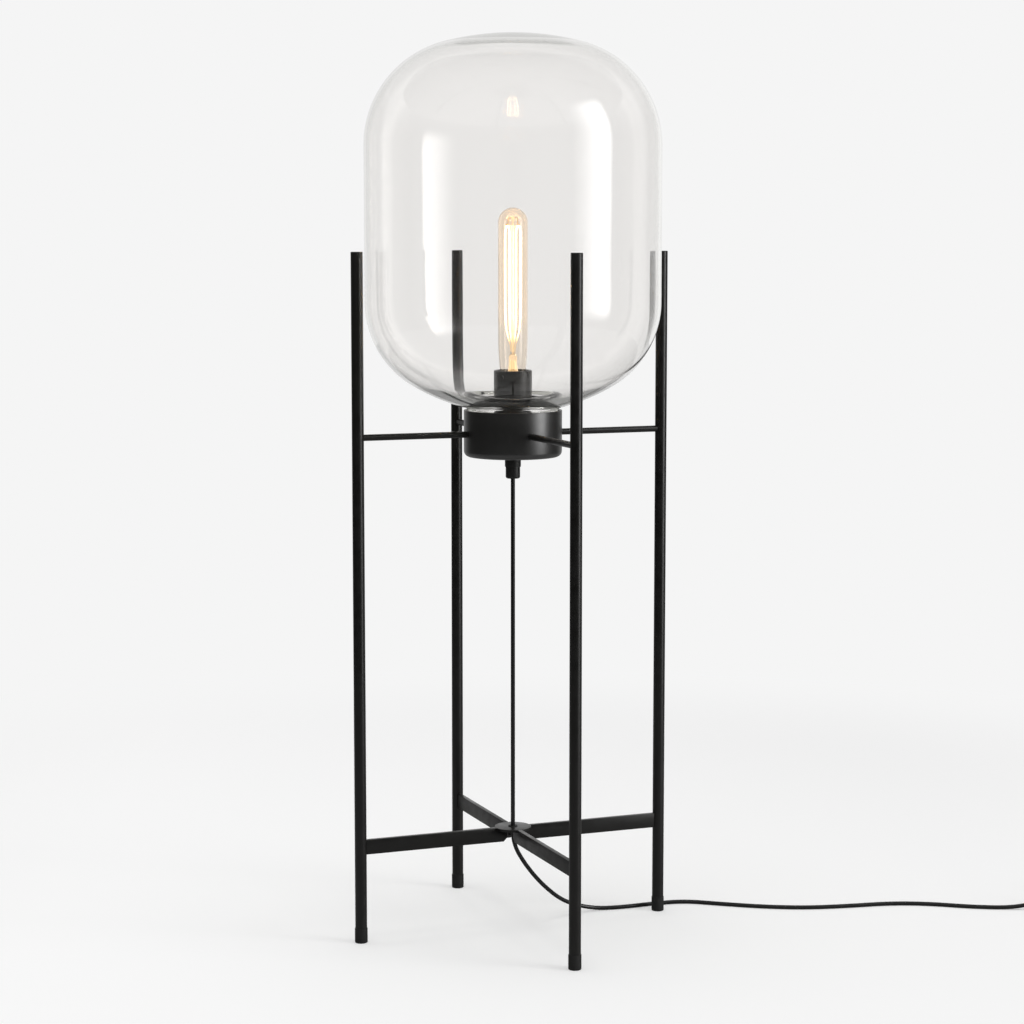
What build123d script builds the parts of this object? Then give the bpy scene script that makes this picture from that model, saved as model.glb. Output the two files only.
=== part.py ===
from build123d import *
import math
import os

# A glass globe floor lamp. A tall clear globe stands by its neck in a black cup, the cup hangs between
# four slim round legs on thin rods, and a cross of flat bars ties the legs together near the floor.
# The origin is on the floor under the middle of the lamp, +Z is up, and sizes are in millimetres.

# Frame
leg_dia = 12.0
leg_top = 698.0
leg_edge = 0.8
leg_gap = 9.5
foot_dia = 13.0
foot_height = 15.0
foot_sole = 2.0
foot_edge = 1.2
rod_dia = 6.5
rod_height = 514.0
bar_height = 15.0
bar_thickness = 5.0
bar_top = 106.0
bar_gap = 14.0
bar_corner = 4.0
plate_dia = 38.0
plate_thickness = 2.5
grommet_wall = 1.6
grommet_lip = 0.8

# Cup
cup_dia = 100.0
cup_height = 47.5
cup_wall = 2.5
cup_corner = 6.0
cup_edge = 0.6
seat_height = 5.0
seat_width = 8.0

# Globe
globe_dia = 300.0
globe_wall = 3.5
globe_height = 381.0
base_wall = 8.0
crown_radius = 277.0
shoulder_radius = 106.0
base_crown_radius = 197.5
base_shoulder_radius = 98.0
neck_length = 36.5
neck_wall = 5.0
neck_gap = 1.5
neck_root = 2.5
lip_radius = 3.0
neck_edge = 1.0

# Threaded tube and gland
tube_dia = 10.0
tube_bore = 8.0
tube_grip = 11.0
tube_thread = 4.0
holder_rise = 24.5
washer_dia = 20.0
washer_thickness = 1.0
nut_across = 14.0
nut_height = 3.5
gland_dia = 14.8
gland_collar = 16.4
gland_collar_height = 10.5
gland_height = 22.5
gland_edge = 2.0
sheath_depth = 8.0
clamp_screw_dia = 3.0
clamp_screw_height = 4.0
clamp_screw_sunk = 0.5

# Lampholder
holder_dia = 38.8
holder_height = 60.0
holder_joint = 34.5
cap_wall = 1.6
skirt_wall = 3.0
skirt_edge = 1.2
skirt_inner_edge = 0.6
fit_play = 0.1
boss_dia = 16.0
boss_height = 6.0
cap_slope = 8.0
groove_width = 0.8
groove_depth = 0.5
groove_pitch = 3.6
block_level = 16.0
block_height = 9.0
block_ledge = 1.8
thread_bore = 26.7
shell_wall = 0.5
shell_flange = 1.0
shell_height = 24.0
contact_height = 2.5
strip_metal = 0.6
spring_strip_foot = 8.0
spring_strip_bend = 4.0
spring_strip_tip = 5.0
terminal_spread = 18.0
terminal_offset = 5.0
terminal_screw_dia = 3.0
terminal_screw_grip = 4.5
terminal_head_dia = 5.4
terminal_head_height = 1.8
wire_dia = 1.9
wire_gap = 0.1

# Bulb
bulb_length = 198.0
bulb_dia = 30.0
bulb_glass_wall = 0.9
bulb_neck_dia = 24.0
bulb_waist_dia = 26.8
bulb_waist_height = 6.0
bulb_taper = 30.0
bulb_tip_dia = 3.2
bulb_tip_height = 0.8
lamp_cap_dia = 26.2
lamp_cap_height = 27.0
lamp_cap_wall = 0.3
cap_collar = 2.5
cap_ridges = 4
ridge_height = 0.6
insulator_height = 5.0
end_contact_dia = 9.6
end_contact_height = 1.5
glass_in_cap = 8.0
stem_dia = 8.4
stem_wall = 1.0
stem_height = 30.0
pinch_height = 3.0
pinch_dia = 6.0
stem_rod_dia = 2.2
stem_rod_top = 733.0
stem_button_dia = 3.6
stem_button_height = 3.0
filament_dia = 0.6
filament_circle = 16.6
filament_strands = 8
filament_top = 725.0
filament_foot_circle = 4.4
filament_post = 2.5
filament_gather = 26.0
hook_dia = 0.6

# Cord, with its foot switch, coil and plug. It runs off on a line turned from +X by cord_heading, and
# its points are given as distance along that line, distance across it, and height.
cord_dia = 4.4
cord_heading = -21.5
bend_share = 0.45
cord_play = 0.15
coil_centre_along = 692.0
coil_inner_radius = 17.6
coil_turn_gap = 1.6
coil_layer_gap = 0.6
coil_lift = 0.6
turns_per_layer = 3
tie_thickness = 0.5
tie_width = 5.0
tie_play = 0.3
link_straight = 5.0
link_drop_run = 16.0

# Foot switch
switch_centre = (612.0, 64.0)
switch_length = 80.0
switch_width = 38.0
switch_wall = 2.0
switch_split = 5.5
switch_top = 19.0
switch_edge = 4.0
pad_height = 1.0
pad_dia = 8.0
pad_spread = (56.0, 18.0)
button_dia = 26.0
button_proud = 3.5
button_travel = 3.0
button_play = 0.25
button_edge = 1.5
button_flange = 2.0
flange_height = 1.5
plunger_dia = 8.0
bridge_thickness = 0.8
bridge_length = 34.0
bridge_width = 12.0
spring_dia = 7.8
spring_wire = 0.8
spring_turns = 4
contact_level = 9.0
contact_gap = 0.05
strip_reach = 17.0
strip_foot = 5.0
strip_thickness = 1.0
strip_width = 6.0
neutral_aside = 5.5
wire_straight = 4.0
switch_screw_spread = (40.0, 22.0)
switch_screw_dia = 2.4
switch_head_dia = 5.2
switch_head_height = 1.6
switch_screw_length = 12.0
screw_boss_dia = 6.0
cord_in_switch = 10.0
saddle_width = 12.0
saddle_length = 4.0
saddle_inset = 5.0

# Plug
plug_width = 35.3
plug_thickness = 13.7
plug_face_length = 7.0
plug_length = 34.0
plug_rear_width = 13.0
plug_rear_thickness = 10.5
plug_corner = 3.0
plug_pin_dia = 4.0
plug_pin_length = 19.0
plug_pin_spread = 18.6
plug_pin_grip = 6.0
plug_pin_edge = 1.6
sleeve_length = 22.0
sleeve_rear_dia = 9.0
sleeve_front_dia = 6.8
sleeve_wall = 0.9
sleeve_grip = 6.0
sleeve_ribs = 5
sleeve_groove = 1.4
plug_lead = 32.6
lead_straight = 6.0
lead_drop_run = 11.0

# Places that follow from the sizes above: the legs stand clear of the globe and its neck fits the cup
leg_circle = globe_dia + 2 * leg_gap + leg_dia
neck_radius = cup_dia / 2 - cup_wall - neck_gap
neck_bore = 2 * (neck_radius - neck_wall)
cup_bottom = rod_height - cup_height / 2
cup_floor = cup_bottom + cup_wall
seat_top = cup_floor + seat_height
base_apex = seat_top + neck_length
globe_top = base_apex + globe_height
holder_bottom = cup_floor + holder_rise
holder_top = holder_bottom + holder_height
joint_level = holder_bottom + holder_joint
block_bottom = holder_bottom + block_level
block_top = block_bottom + block_height
bulb_bottom = block_top + contact_height
bulb_top = bulb_bottom + bulb_length
gland_bottom = cup_bottom - gland_height
sheath_end = gland_bottom + sheath_depth
cord_radius = cord_dia / 2

os.makedirs("parts", exist_ok=True)


def save(piece, name):
    """Labels a finished piece and writes it under that name."""
    piece.label = name
    export_step(piece, f"parts/{name}.step")


# Legs, foot caps, rods and bars stand at four sides of the lamp, each made along its own direction
sides = {"right": 0, "back": 90, "left": 180, "front": 270}

for side, angle in sides.items():
    outward = Vector(1, 0, 0).rotate(Axis.Z, angle)
    ground = Plane(origin=outward * (leg_circle / 2), x_dir=outward, z_dir=(0, 0, 1))
    along_rod = Plane(origin=(0, 0, rod_height), x_dir=(0, 0, 1), z_dir=outward)
    along_bar = Plane(origin=(0, 0, bar_top - bar_height / 2), x_dir=(0, 0, 1), z_dir=outward)

    # A round steel bar, its top edge rounded
    with BuildPart() as leg:
        with BuildSketch(ground.offset(foot_sole)):
            Circle(leg_dia / 2)
        extrude(amount=leg_top - foot_sole)
        fillet(leg.edges().filter_by(GeomType.CIRCLE).sort_by(Axis.Z)[-1], leg_edge)
    save(leg.part, f"leg_{side}")

    # A slip-on cap with a closed sole
    with BuildPart() as foot:
        with BuildSketch(ground):
            Circle(foot_dia / 2)
        extrude(amount=foot_height)
        fillet(foot.edges().filter_by(GeomType.CIRCLE).sort_by(Axis.Z)[0], foot_edge)
        with BuildSketch(ground.offset(foot_sole)):
            Circle(leg_dia / 2)
        extrude(amount=foot_height, mode=Mode.SUBTRACT)
    save(foot.part, f"foot_{side}")

    # A thin rod, coped to the leg at one end and to the cup at the other
    with BuildPart() as rod:
        with BuildSketch(along_rod):
            Circle(rod_dia / 2)
        extrude(amount=leg_circle / 2)
        with BuildSketch(ground.offset(rod_height - rod_dia)):
            Circle(leg_dia / 2)
        extrude(amount=2 * rod_dia, mode=Mode.SUBTRACT)
        with BuildSketch(Plane.XY.offset(rod_height - rod_dia)):
            Circle(cup_dia / 2)
        extrude(amount=2 * rod_dia, mode=Mode.SUBTRACT)
    save(rod.part, f"rod_{side}")

    # A flat bar on edge: its inner end is rebated for the plate and its lower corner is cut off
    with BuildPart() as bar:
        with BuildSketch(along_bar.offset(bar_gap / 2)):
            Rectangle(bar_height, bar_thickness)
        extrude(amount=(leg_circle - bar_gap) / 2)
        thickness_edges = bar.edges().filter_by(Axis((0, 0, 0), outward.rotate(Axis.Z, 90)))
        inner_end = thickness_edges.sort_by(Axis((0, 0, 0), outward))[:2]
        chamfer(inner_end.sort_by(Axis.Z)[0], bar_corner)
        with BuildSketch(ground):
            Circle(leg_dia / 2)
        extrude(amount=bar_top + bar_height, mode=Mode.SUBTRACT)
        with BuildSketch(Plane.XY.offset(bar_top - plate_thickness)):
            Circle(plate_dia / 2)
        extrude(amount=bar_height, mode=Mode.SUBTRACT)
    save(bar.part, f"bar_{side}")

# Round plate let into the tops of the four bars, with the hole that the cord hangs through
grommet_bore = cord_dia + 2 * cord_play
grommet_dia = grommet_bore + 2 * grommet_wall
with BuildPart() as cross_plate:
    with BuildSketch(Plane.XY.offset(bar_top - plate_thickness)):
        Circle(plate_dia / 2)
        Circle(grommet_dia / 2, mode=Mode.SUBTRACT)
    extrude(amount=plate_thickness)
save(cross_plate.part, "cross_plate")

# Soft ring in that hole, with a lip above and below the plate
with BuildPart() as cord_grommet:
    with BuildSketch(Plane.XY.offset(bar_top - plate_thickness - grommet_lip)):
        Circle(grommet_dia / 2 + grommet_lip)
    extrude(amount=plate_thickness + 2 * grommet_lip)
    with BuildSketch(Plane.XY.offset(bar_top - plate_thickness)):
        Circle(plate_dia / 2)
        Circle(grommet_dia / 2, mode=Mode.SUBTRACT)
    extrude(amount=plate_thickness, mode=Mode.SUBTRACT)
    with BuildSketch(Plane.XY.offset(bar_top - plate_thickness - grommet_lip)):
        Circle(grommet_bore / 2)
    extrude(amount=plate_thickness + 2 * grommet_lip, mode=Mode.SUBTRACT)
save(cord_grommet.part, "cord_grommet")

# Turned cup, open at the top, with a hole for the threaded tube
with BuildPart() as cup:
    with BuildSketch(Plane.XY.offset(cup_bottom)):
        Circle(cup_dia / 2)
    extrude(amount=cup_height)
    fillet(cup.edges().filter_by(GeomType.CIRCLE).sort_by(Axis.Z)[0], cup_corner)
    with BuildSketch(Plane.XY.offset(cup_floor)):
        Circle(cup_dia / 2 - cup_wall)
    extrude(amount=cup_height, mode=Mode.SUBTRACT)
    inner_corner = cup.edges().filter_by(GeomType.CIRCLE).filter_by_position(
        Axis.Z, cup_floor - fit_play, cup_floor + fit_play
    )
    fillet(inner_corner, cup_corner - cup_wall)
    fillet(cup.edges().filter_by(GeomType.CIRCLE).group_by(Axis.Z)[-1], cup_edge)
    with BuildSketch(Plane.XY.offset(cup_bottom)):
        Circle(tube_dia / 2)
    extrude(amount=2 * cup_wall, mode=Mode.SUBTRACT)
save(cup.part, "cup")

# Soft ring on the cup's floor that the globe's neck stands on
seat_radius = cup_dia / 2 - cup_wall - fit_play
with BuildPart() as globe_seat:
    with BuildSketch(Plane.XY.offset(cup_floor)):
        Circle(seat_radius)
    extrude(amount=seat_height)
    fillet(globe_seat.edges().filter_by(GeomType.CIRCLE).sort_by(Axis.Z)[0], cup_corner - cup_wall)
    with BuildSketch(Plane.XY.offset(cup_floor)):
        Circle(seat_radius - seat_width)
    extrude(amount=seat_height, mode=Mode.SUBTRACT)
save(globe_seat.part, "globe_seat")


def domed_end(side, shoulder, crown):
    """Height of the shoulder's centre over the crown's centre, and the angle at which the arcs meet."""
    inward = side - shoulder
    rise = math.sqrt((crown - shoulder) ** 2 - inward**2)
    return rise, math.degrees(math.atan2(rise, inward))


# The globe's outline is a flat crown, round shoulders, an upright side, round lower shoulders and a
# shallow base that turns down into the neck. The inside follows it one wall further in, and the glass
# is thicker over the neck.
with BuildPart() as glass_globe:
    for wall, thick, neck, mode in (
        (0, 0, neck_radius, Mode.ADD),
        (globe_wall, base_wall, neck_bore / 2, Mode.SUBTRACT),
    ):
        side_radius = globe_dia / 2 - wall
        with BuildSketch(Plane.XZ):
            with BuildLine():
                crown = crown_radius - wall
                shoulder = shoulder_radius - wall
                crown_centre = globe_top - wall - crown
                rise, meet = domed_end(side_radius, shoulder, crown)
                CenterArc((0, crown_centre), crown, 90, meet - 90)
                upper = CenterArc((side_radius - shoulder, crown_centre + rise), shoulder, meet, -meet)
                crown = base_crown_radius - wall
                shoulder = base_shoulder_radius - wall
                base_centre = base_apex + thick + crown
                rise, meet = domed_end(side_radius, shoulder, crown)
                lower = CenterArc((side_radius - shoulder, base_centre - rise), shoulder, 0, -meet)
                to_neck = math.degrees(math.acos(neck / crown))
                base = CenterArc((0, base_centre), crown, -meet, meet - to_neck)
                Line(upper @ 1, lower @ 0)
                Polyline(base @ 1, (neck, seat_top), (0, seat_top), (0, globe_top - wall))
            make_face()
        revolve(axis=Axis.Z, mode=mode)
    rings = glass_globe.edges().filter_by(GeomType.CIRCLE)
    neck_rings = ShapeList([ring for ring in rings if ring.radius < neck_radius + fit_play])
    corner_rings = neck_rings.filter_by_position(Axis.Z, seat_top + neck_edge, globe_top).sort_by(Axis.Z)
    fillet(corner_rings[-1], lip_radius)
    fillet(corner_rings[0], neck_root)
    fillet(glass_globe.edges().filter_by(GeomType.CIRCLE).group_by(Axis.Z)[0], neck_edge)
save(glass_globe.part, "glass_globe")

# Threaded tube through the cup's floor: the gland screws on below it and the lampholder above it
tube_bottom = cup_bottom - tube_grip
tube_top = holder_bottom + tube_thread
with BuildPart() as threaded_tube:
    with BuildSketch(Plane.XY.offset(tube_bottom)):
        Circle(tube_dia / 2)
        Circle(tube_bore / 2, mode=Mode.SUBTRACT)
    extrude(amount=tube_top - tube_bottom)
save(threaded_tube.part, "threaded_tube")

with BuildPart() as washer:
    with BuildSketch(Plane.XY.offset(cup_floor)):
        Circle(washer_dia / 2)
        Circle(tube_dia / 2, mode=Mode.SUBTRACT)
    extrude(amount=washer_thickness)
save(washer.part, "tube_washer")

with BuildPart() as nut:
    with BuildSketch(Plane.XY.offset(cup_floor + washer_thickness)):
        RegularPolygon(nut_across / 2, 6, major_radius=False)
        Circle(tube_dia / 2, mode=Mode.SUBTRACT)
    extrude(amount=nut_height)
save(nut.part, "tube_nut")

# Cord gland: a wide collar against the cup, then a slimmer barrel that grips the cord's sheath
wire_passage = 2 * wire_dia + wire_gap + 2 * fit_play
screw_line = Plane(origin=(0, 0, gland_bottom + clamp_screw_height), x_dir=(1, 0, 0), z_dir=(0, 1, 0))
with BuildPart() as gland:
    with BuildSketch(Plane.XY.offset(gland_bottom)):
        Circle(gland_dia / 2)
    extrude(amount=gland_height)
    fillet(gland.edges().filter_by(GeomType.CIRCLE).sort_by(Axis.Z)[0], gland_edge)
    with BuildSketch(Plane.XY.offset(cup_bottom - gland_collar_height)):
        Circle(gland_collar / 2)
    extrude(amount=gland_collar_height)
    with BuildSketch(Plane.XY.offset(tube_bottom)):
        Circle(tube_dia / 2)
    extrude(amount=tube_grip, mode=Mode.SUBTRACT)
    with BuildSketch(Plane.XY.offset(sheath_end)):
        Circle(wire_passage / 2)
    extrude(amount=tube_bottom - sheath_end, mode=Mode.SUBTRACT)
    with BuildSketch(Plane.XY.offset(gland_bottom)):
        Circle(cord_radius + cord_play)
    extrude(amount=sheath_depth, mode=Mode.SUBTRACT)
    with BuildSketch(screw_line):
        Circle(clamp_screw_dia / 2)
    extrude(amount=gland_dia / 2, mode=Mode.SUBTRACT)
save(gland.part, "cord_gland")

# Headless screw that presses on the cord from the back of the gland
with BuildPart() as clamp_screw:
    with BuildSketch(screw_line.offset(cord_radius + cord_play)):
        Circle(clamp_screw_dia / 2)
    extrude(amount=gland_dia / 2 - cord_radius - cord_play - clamp_screw_sunk)
save(clamp_screw.part, "gland_screw")

# Lower cap of the lampholder: a boss on the threaded tube, a sloping floor and a grooved wall
holder_radius = holder_dia / 2
cap_radius = holder_radius - cap_wall
slope_top = holder_bottom + boss_height + cap_slope
with BuildPart() as holder_cap:
    with BuildSketch(Plane.XZ):
        Polygon(
            (tube_dia / 2, holder_bottom),
            (boss_dia / 2, holder_bottom),
            (boss_dia / 2, holder_bottom + boss_height),
            (holder_radius, slope_top),
            (holder_radius, joint_level),
            (cap_radius, joint_level),
            (cap_radius, block_bottom),
            (cap_radius - block_ledge, block_bottom),
            (cap_radius - block_ledge, slope_top),
            (tube_dia / 2, holder_bottom + boss_height),
            align=None,
        )
    revolve(axis=Axis.Z)
    for groove in (1, 2):
        with BuildSketch(Plane.XY.offset(joint_level - groove * groove_pitch)):
            Circle(holder_radius + groove_depth)
            Circle(holder_radius - groove_depth, mode=Mode.SUBTRACT)
        extrude(amount=-groove_width, mode=Mode.SUBTRACT)
save(holder_cap.part, "lampholder_cap")

# Upper skirt: its spigot stands on the contact block inside the cap, its rim rises round the bulb
skirt_bore = holder_radius - skirt_wall
with BuildPart() as skirt:
    with BuildSketch(Plane.XY.offset(block_top)):
        Circle(cap_radius - fit_play)
    extrude(amount=joint_level - block_top)
    with BuildSketch(Plane.XY.offset(joint_level)):
        Circle(holder_radius)
    extrude(amount=holder_top - joint_level)
    fillet(skirt.edges().filter_by(GeomType.CIRCLE).sort_by(Axis.Z)[-1], skirt_edge)
    with BuildSketch(Plane.XY.offset(joint_level + groove_pitch)):
        Circle(holder_radius + groove_depth)
        Circle(holder_radius - groove_depth, mode=Mode.SUBTRACT)
    extrude(amount=-groove_width, mode=Mode.SUBTRACT)
    with BuildSketch(Plane.XY.offset(block_top)):
        Circle(skirt_bore)
    extrude(amount=holder_height, mode=Mode.SUBTRACT)
    rim_rings = skirt.edges().filter_by(GeomType.CIRCLE).group_by(Axis.Z)[-1]
    fillet(rim_rings.sort_by(SortBy.RADIUS)[0], skirt_inner_edge)
save(skirt.part, "lampholder_skirt")

# Insulating block that stands on the cap's ledge and carries the contacts
terminal_places = [(terminal_spread / 2, terminal_offset), (-terminal_spread / 2, -terminal_offset)]
with BuildPart() as contact_block:
    with BuildSketch(Plane.XY.offset(block_bottom)):
        Circle(cap_radius - fit_play)
    extrude(amount=block_height)
    with BuildSketch(Plane.XY.offset(block_bottom)):
        with Locations(*terminal_places):
            Circle(terminal_screw_dia / 2)
    extrude(amount=terminal_screw_grip, mode=Mode.SUBTRACT)
save(contact_block.part, "contact_block")

# Screw shell: a thin tube with a foot, on the block
shell_radius = thread_bore / 2 + shell_wall
with BuildPart() as screw_shell:
    with BuildSketch(Plane.XY.offset(block_top)):
        Circle(shell_radius + shell_flange)
    extrude(amount=shell_wall)
    with BuildSketch(Plane.XY.offset(block_top)):
        Circle(shell_radius)
    extrude(amount=shell_height)
    with BuildSketch(Plane.XY.offset(block_top)):
        Circle(thread_bore / 2)
    extrude(amount=shell_height, mode=Mode.SUBTRACT)
save(screw_shell.part, "screw_shell")

# Sprung strip in the middle of the block, bent up to meet the bulb's end contact
with BuildPart() as centre_contact:
    with BuildSketch(Plane.XZ):
        Polygon(
            (-spring_strip_foot, block_top),
            (-spring_strip_bend, block_top),
            (-spring_strip_bend / 2, bulb_bottom - strip_metal),
            (spring_strip_tip, bulb_bottom - strip_metal),
            (spring_strip_tip, bulb_bottom),
            ((-spring_strip_bend - strip_metal) / 2, bulb_bottom),
            (-spring_strip_bend - strip_metal / 2, block_top + strip_metal),
            (-spring_strip_foot, block_top + strip_metal),
            align=None,
        )
    extrude(amount=end_contact_dia / 4, both=True)
save(centre_contact.part, "centre_contact")

with BuildPart() as terminal_screws:
    with BuildSketch(Plane.XY.offset(block_bottom)):
        with Locations(*terminal_places):
            Circle(terminal_head_dia / 2)
    extrude(amount=-terminal_head_height)
    with BuildSketch(Plane.XY.offset(block_bottom)):
        with Locations(*terminal_places):
            Circle(terminal_screw_dia / 2)
    extrude(amount=terminal_screw_grip)
save(terminal_screws.part, "terminal_screws")


def bend_radii(points):
    """Radius of the bend at each inner point, as large as the two runs beside it allow."""
    radii = []
    for before, here, after in zip(points, points[1:], points[2:]):
        run_in = here - before
        run_out = after - here
        half_turn_angle = math.radians(run_in.get_angle(run_out) / 2)
        radii.append(bend_share * min(run_in.length, run_out.length) / math.tan(half_turn_angle))
    return radii


def lay_tube(name, points, dia):
    """A round cord or wire along straight runs joined by tangent arcs."""
    radii = bend_radii(points)
    with BuildPart(mode=Mode.PRIVATE) as tube:
        with BuildLine() as route:
            FilletPolyline(*points, radius=radii)
        path = route.wire()
        with BuildSketch(Plane(origin=path @ 0, z_dir=path % 0)):
            Circle(dia / 2)
        sweep()
    share = tube.part.volume / (path.length * math.pi * dia**2 / 4)
    print(name, "length", round(path.length, 1), "volume share", round(share, 4))
    print("  bend radii", [round(radius, 1) for radius in radii])
    return tube.part


# Live and neutral wire, from the end of the sheath up the threaded tube to the terminals
wire_offset = (wire_dia + wire_gap) / 2
with BuildPart() as holder_wires:
    for side in (-1, 1):
        wire_points = [
            Vector(side * wire_offset, 0, sheath_end),
            Vector(side * wire_offset, 0, tube_top + wire_offset),
            Vector(side * terminal_spread / 2, 0, block_bottom - 2 * wire_dia),
            Vector(side * terminal_spread / 2, 0, block_bottom),
        ]
        add(lay_tube("holder wire", wire_points, wire_dia))
save(holder_wires.part, "holder_wires")

# Bulb: a long tube of glass with a round end and a small sealed tip, drawn in where it enters the cap
cap_bottom = bulb_bottom + end_contact_height + insulator_height
cap_top = bulb_bottom + lamp_cap_height
envelope_bottom = cap_top - glass_in_cap
dome_level = bulb_top - bulb_tip_height - bulb_dia / 2
with BuildPart() as bulb_glass:
    for wall, mode in ((0, Mode.ADD), (bulb_glass_wall, Mode.SUBTRACT)):
        neck_side = bulb_neck_dia / 2 - wall
        waist_side = bulb_waist_dia / 2 - wall
        with BuildSketch(Plane.XZ):
            with BuildLine():
                dome = CenterArc((0, dome_level), bulb_dia / 2 - wall, 90, -90)
                upright = Line(dome @ 1, (bulb_dia / 2 - wall, cap_top + bulb_taper))
                taper = Spline(
                    upright @ 1,
                    (waist_side, cap_top + bulb_waist_height),
                    (neck_side, cap_top),
                    tangents=[(0, -1), (-0.4, -1)],
                )
                Polyline(taper @ 1, (neck_side, envelope_bottom), (0, envelope_bottom), dome @ 0)
            make_face()
        revolve(axis=Axis.Z, mode=mode)
    with BuildSketch(Plane.XY.offset(bulb_top - bulb_tip_height - bulb_glass_wall / 2)):
        Circle(bulb_tip_dia / 2)
    extrude(amount=bulb_tip_height + bulb_glass_wall / 2)
    fillet(bulb_glass.edges().sort_by(Axis.Z)[-1], bulb_tip_height * 0.8)
save(bulb_glass.part, "bulb_glass")

# Screw cap of the bulb: thin sheet with rolled ridges between two plain collars
ridge_pitch = (lamp_cap_height - end_contact_height - insulator_height - 2 * cap_collar) / cap_ridges
with BuildPart() as bulb_cap:
    for wall, mode in ((0, Mode.ADD), (lamp_cap_wall, Mode.SUBTRACT)):
        groove_radius = lamp_cap_dia / 2 - ridge_height - wall
        with BuildSketch(Plane.XZ):
            with BuildLine():
                level = cap_bottom + cap_collar
                Polyline((0, cap_bottom), (groove_radius, cap_bottom), (groove_radius, level))
                for ridge in range(cap_ridges):
                    ThreePointArc(
                        (groove_radius, level),
                        (groove_radius + ridge_height, level + ridge_pitch / 2),
                        (groove_radius, level + ridge_pitch),
                    )
                    level += ridge_pitch
                Polyline((groove_radius, level), (groove_radius, cap_top), (0, cap_top), (0, cap_bottom))
            make_face()
        revolve(axis=Axis.Z, mode=mode)
save(bulb_cap.part, "bulb_cap")

# Black glass insulator that closes the cap, and the end contact under it
insulator_top_radius = lamp_cap_dia / 2 - ridge_height - lamp_cap_wall
with BuildPart() as insulator:
    with BuildSketch(Plane.XZ):
        Polygon(
            (0, bulb_bottom + end_contact_height),
            (end_contact_dia / 2, bulb_bottom + end_contact_height),
            (insulator_top_radius, cap_bottom),
            (insulator_top_radius, cap_bottom + cap_collar / 2),
            (0, cap_bottom + cap_collar / 2),
            align=None,
        )
    revolve(axis=Axis.Z)
save(insulator.part, "bulb_insulator")

with BuildPart() as end_contact:
    with BuildSketch(Plane.XY.offset(bulb_bottom)):
        Circle(end_contact_dia / 2)
    extrude(amount=end_contact_height)
    fillet(end_contact.edges().sort_by(Axis.Z)[0], end_contact_height / 2)
save(end_contact.part, "bulb_contact")

# Glass stem: a flared hollow foot, a straight barrel, a pinched top and a rod up to the upper hooks
stem_top = envelope_bottom + stem_height
flare_radius = bulb_neck_dia / 2 - bulb_glass_wall - cord_play
with BuildPart() as stem:
    with BuildSketch(Plane.XZ):
        with BuildLine():
            flare = Spline(
                (flare_radius, envelope_bottom),
                (stem_dia / 2, envelope_bottom + stem_height / 2),
                tangents=[(-1, 0.2), (0, 1)],
            )
            Polyline(
                flare @ 1,
                (stem_dia / 2, stem_top - pinch_height),
                (pinch_dia / 2, stem_top),
                (stem_rod_dia / 2, stem_top),
                (stem_rod_dia / 2, stem_rod_top),
                (0, stem_rod_top),
                (0, stem_top - 2 * pinch_height),
                (stem_dia / 2 - stem_wall, stem_top - 2 * pinch_height),
                (stem_dia / 2 - stem_wall, envelope_bottom + stem_height / 2),
            )
            inner_flare = Spline(
                (stem_dia / 2 - stem_wall, envelope_bottom + stem_height / 2),
                (flare_radius - 2 * stem_wall, envelope_bottom),
                tangents=[(0, -1), (1, -0.2)],
            )
            Line(inner_flare @ 1, flare @ 0)
        make_face()
    revolve(axis=Axis.Z)
    with BuildSketch(Plane.XY.offset(stem_rod_top)):
        Circle(stem_button_dia / 2)
    extrude(amount=-stem_button_height)
    fillet(stem.edges().group_by(Axis.Z)[-1], stem_button_height / 3)
save(stem.part, "bulb_stem")


def around(radius, angle, height):
    """A point at that distance from the lamp's axis."""
    return Vector(radius, 0, height).rotate(Axis.Z, angle)


# Filament: hairpins that rise from the stem's top, stand as a cage and turn over at the upper hooks
foot_level = stem_top + filament_post
strand_angle = 360 / filament_strands
with BuildPart() as filament:
    for hairpin in range(filament_strands // 2):
        first = 2 * hairpin * strand_angle
        second = first + strand_angle
        hairpin_points = [
            around(filament_foot_circle / 2, first, foot_level),
            around(filament_foot_circle / 2, first, foot_level + 2 * filament_post),
            around(filament_circle / 2, first, foot_level + filament_gather),
            around(filament_circle / 2, first, filament_top),
            around(filament_circle / 2, second, filament_top),
            around(filament_circle / 2, second, foot_level + filament_gather),
            around(filament_foot_circle / 2, second, foot_level + 2 * filament_post),
            around(filament_foot_circle / 2, second, foot_level),
        ]
        add(lay_tube("hairpin", hairpin_points, filament_dia))
save(filament.part, "filament")

# Two lead wires come up through the stem, and short posts in its top hold the other hairpin ends
with BuildPart() as lead_wires:
    for angle in (0, 180):
        with BuildSketch(Plane.XY.offset(stem_top)):
            with Locations(around(filament_foot_circle / 2, angle, 0)):
                Circle(hook_dia / 2)
        extrude(amount=filament_post)
        with BuildSketch(Plane.XY.offset(cap_bottom + cap_collar / 2)):
            with Locations(around(filament_foot_circle / 4, angle, 0)):
                Circle(hook_dia / 2)
        extrude(amount=stem_top - 2 * pinch_height - cap_bottom - cap_collar / 2)
save(lead_wires.part, "lead_wires")

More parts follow.
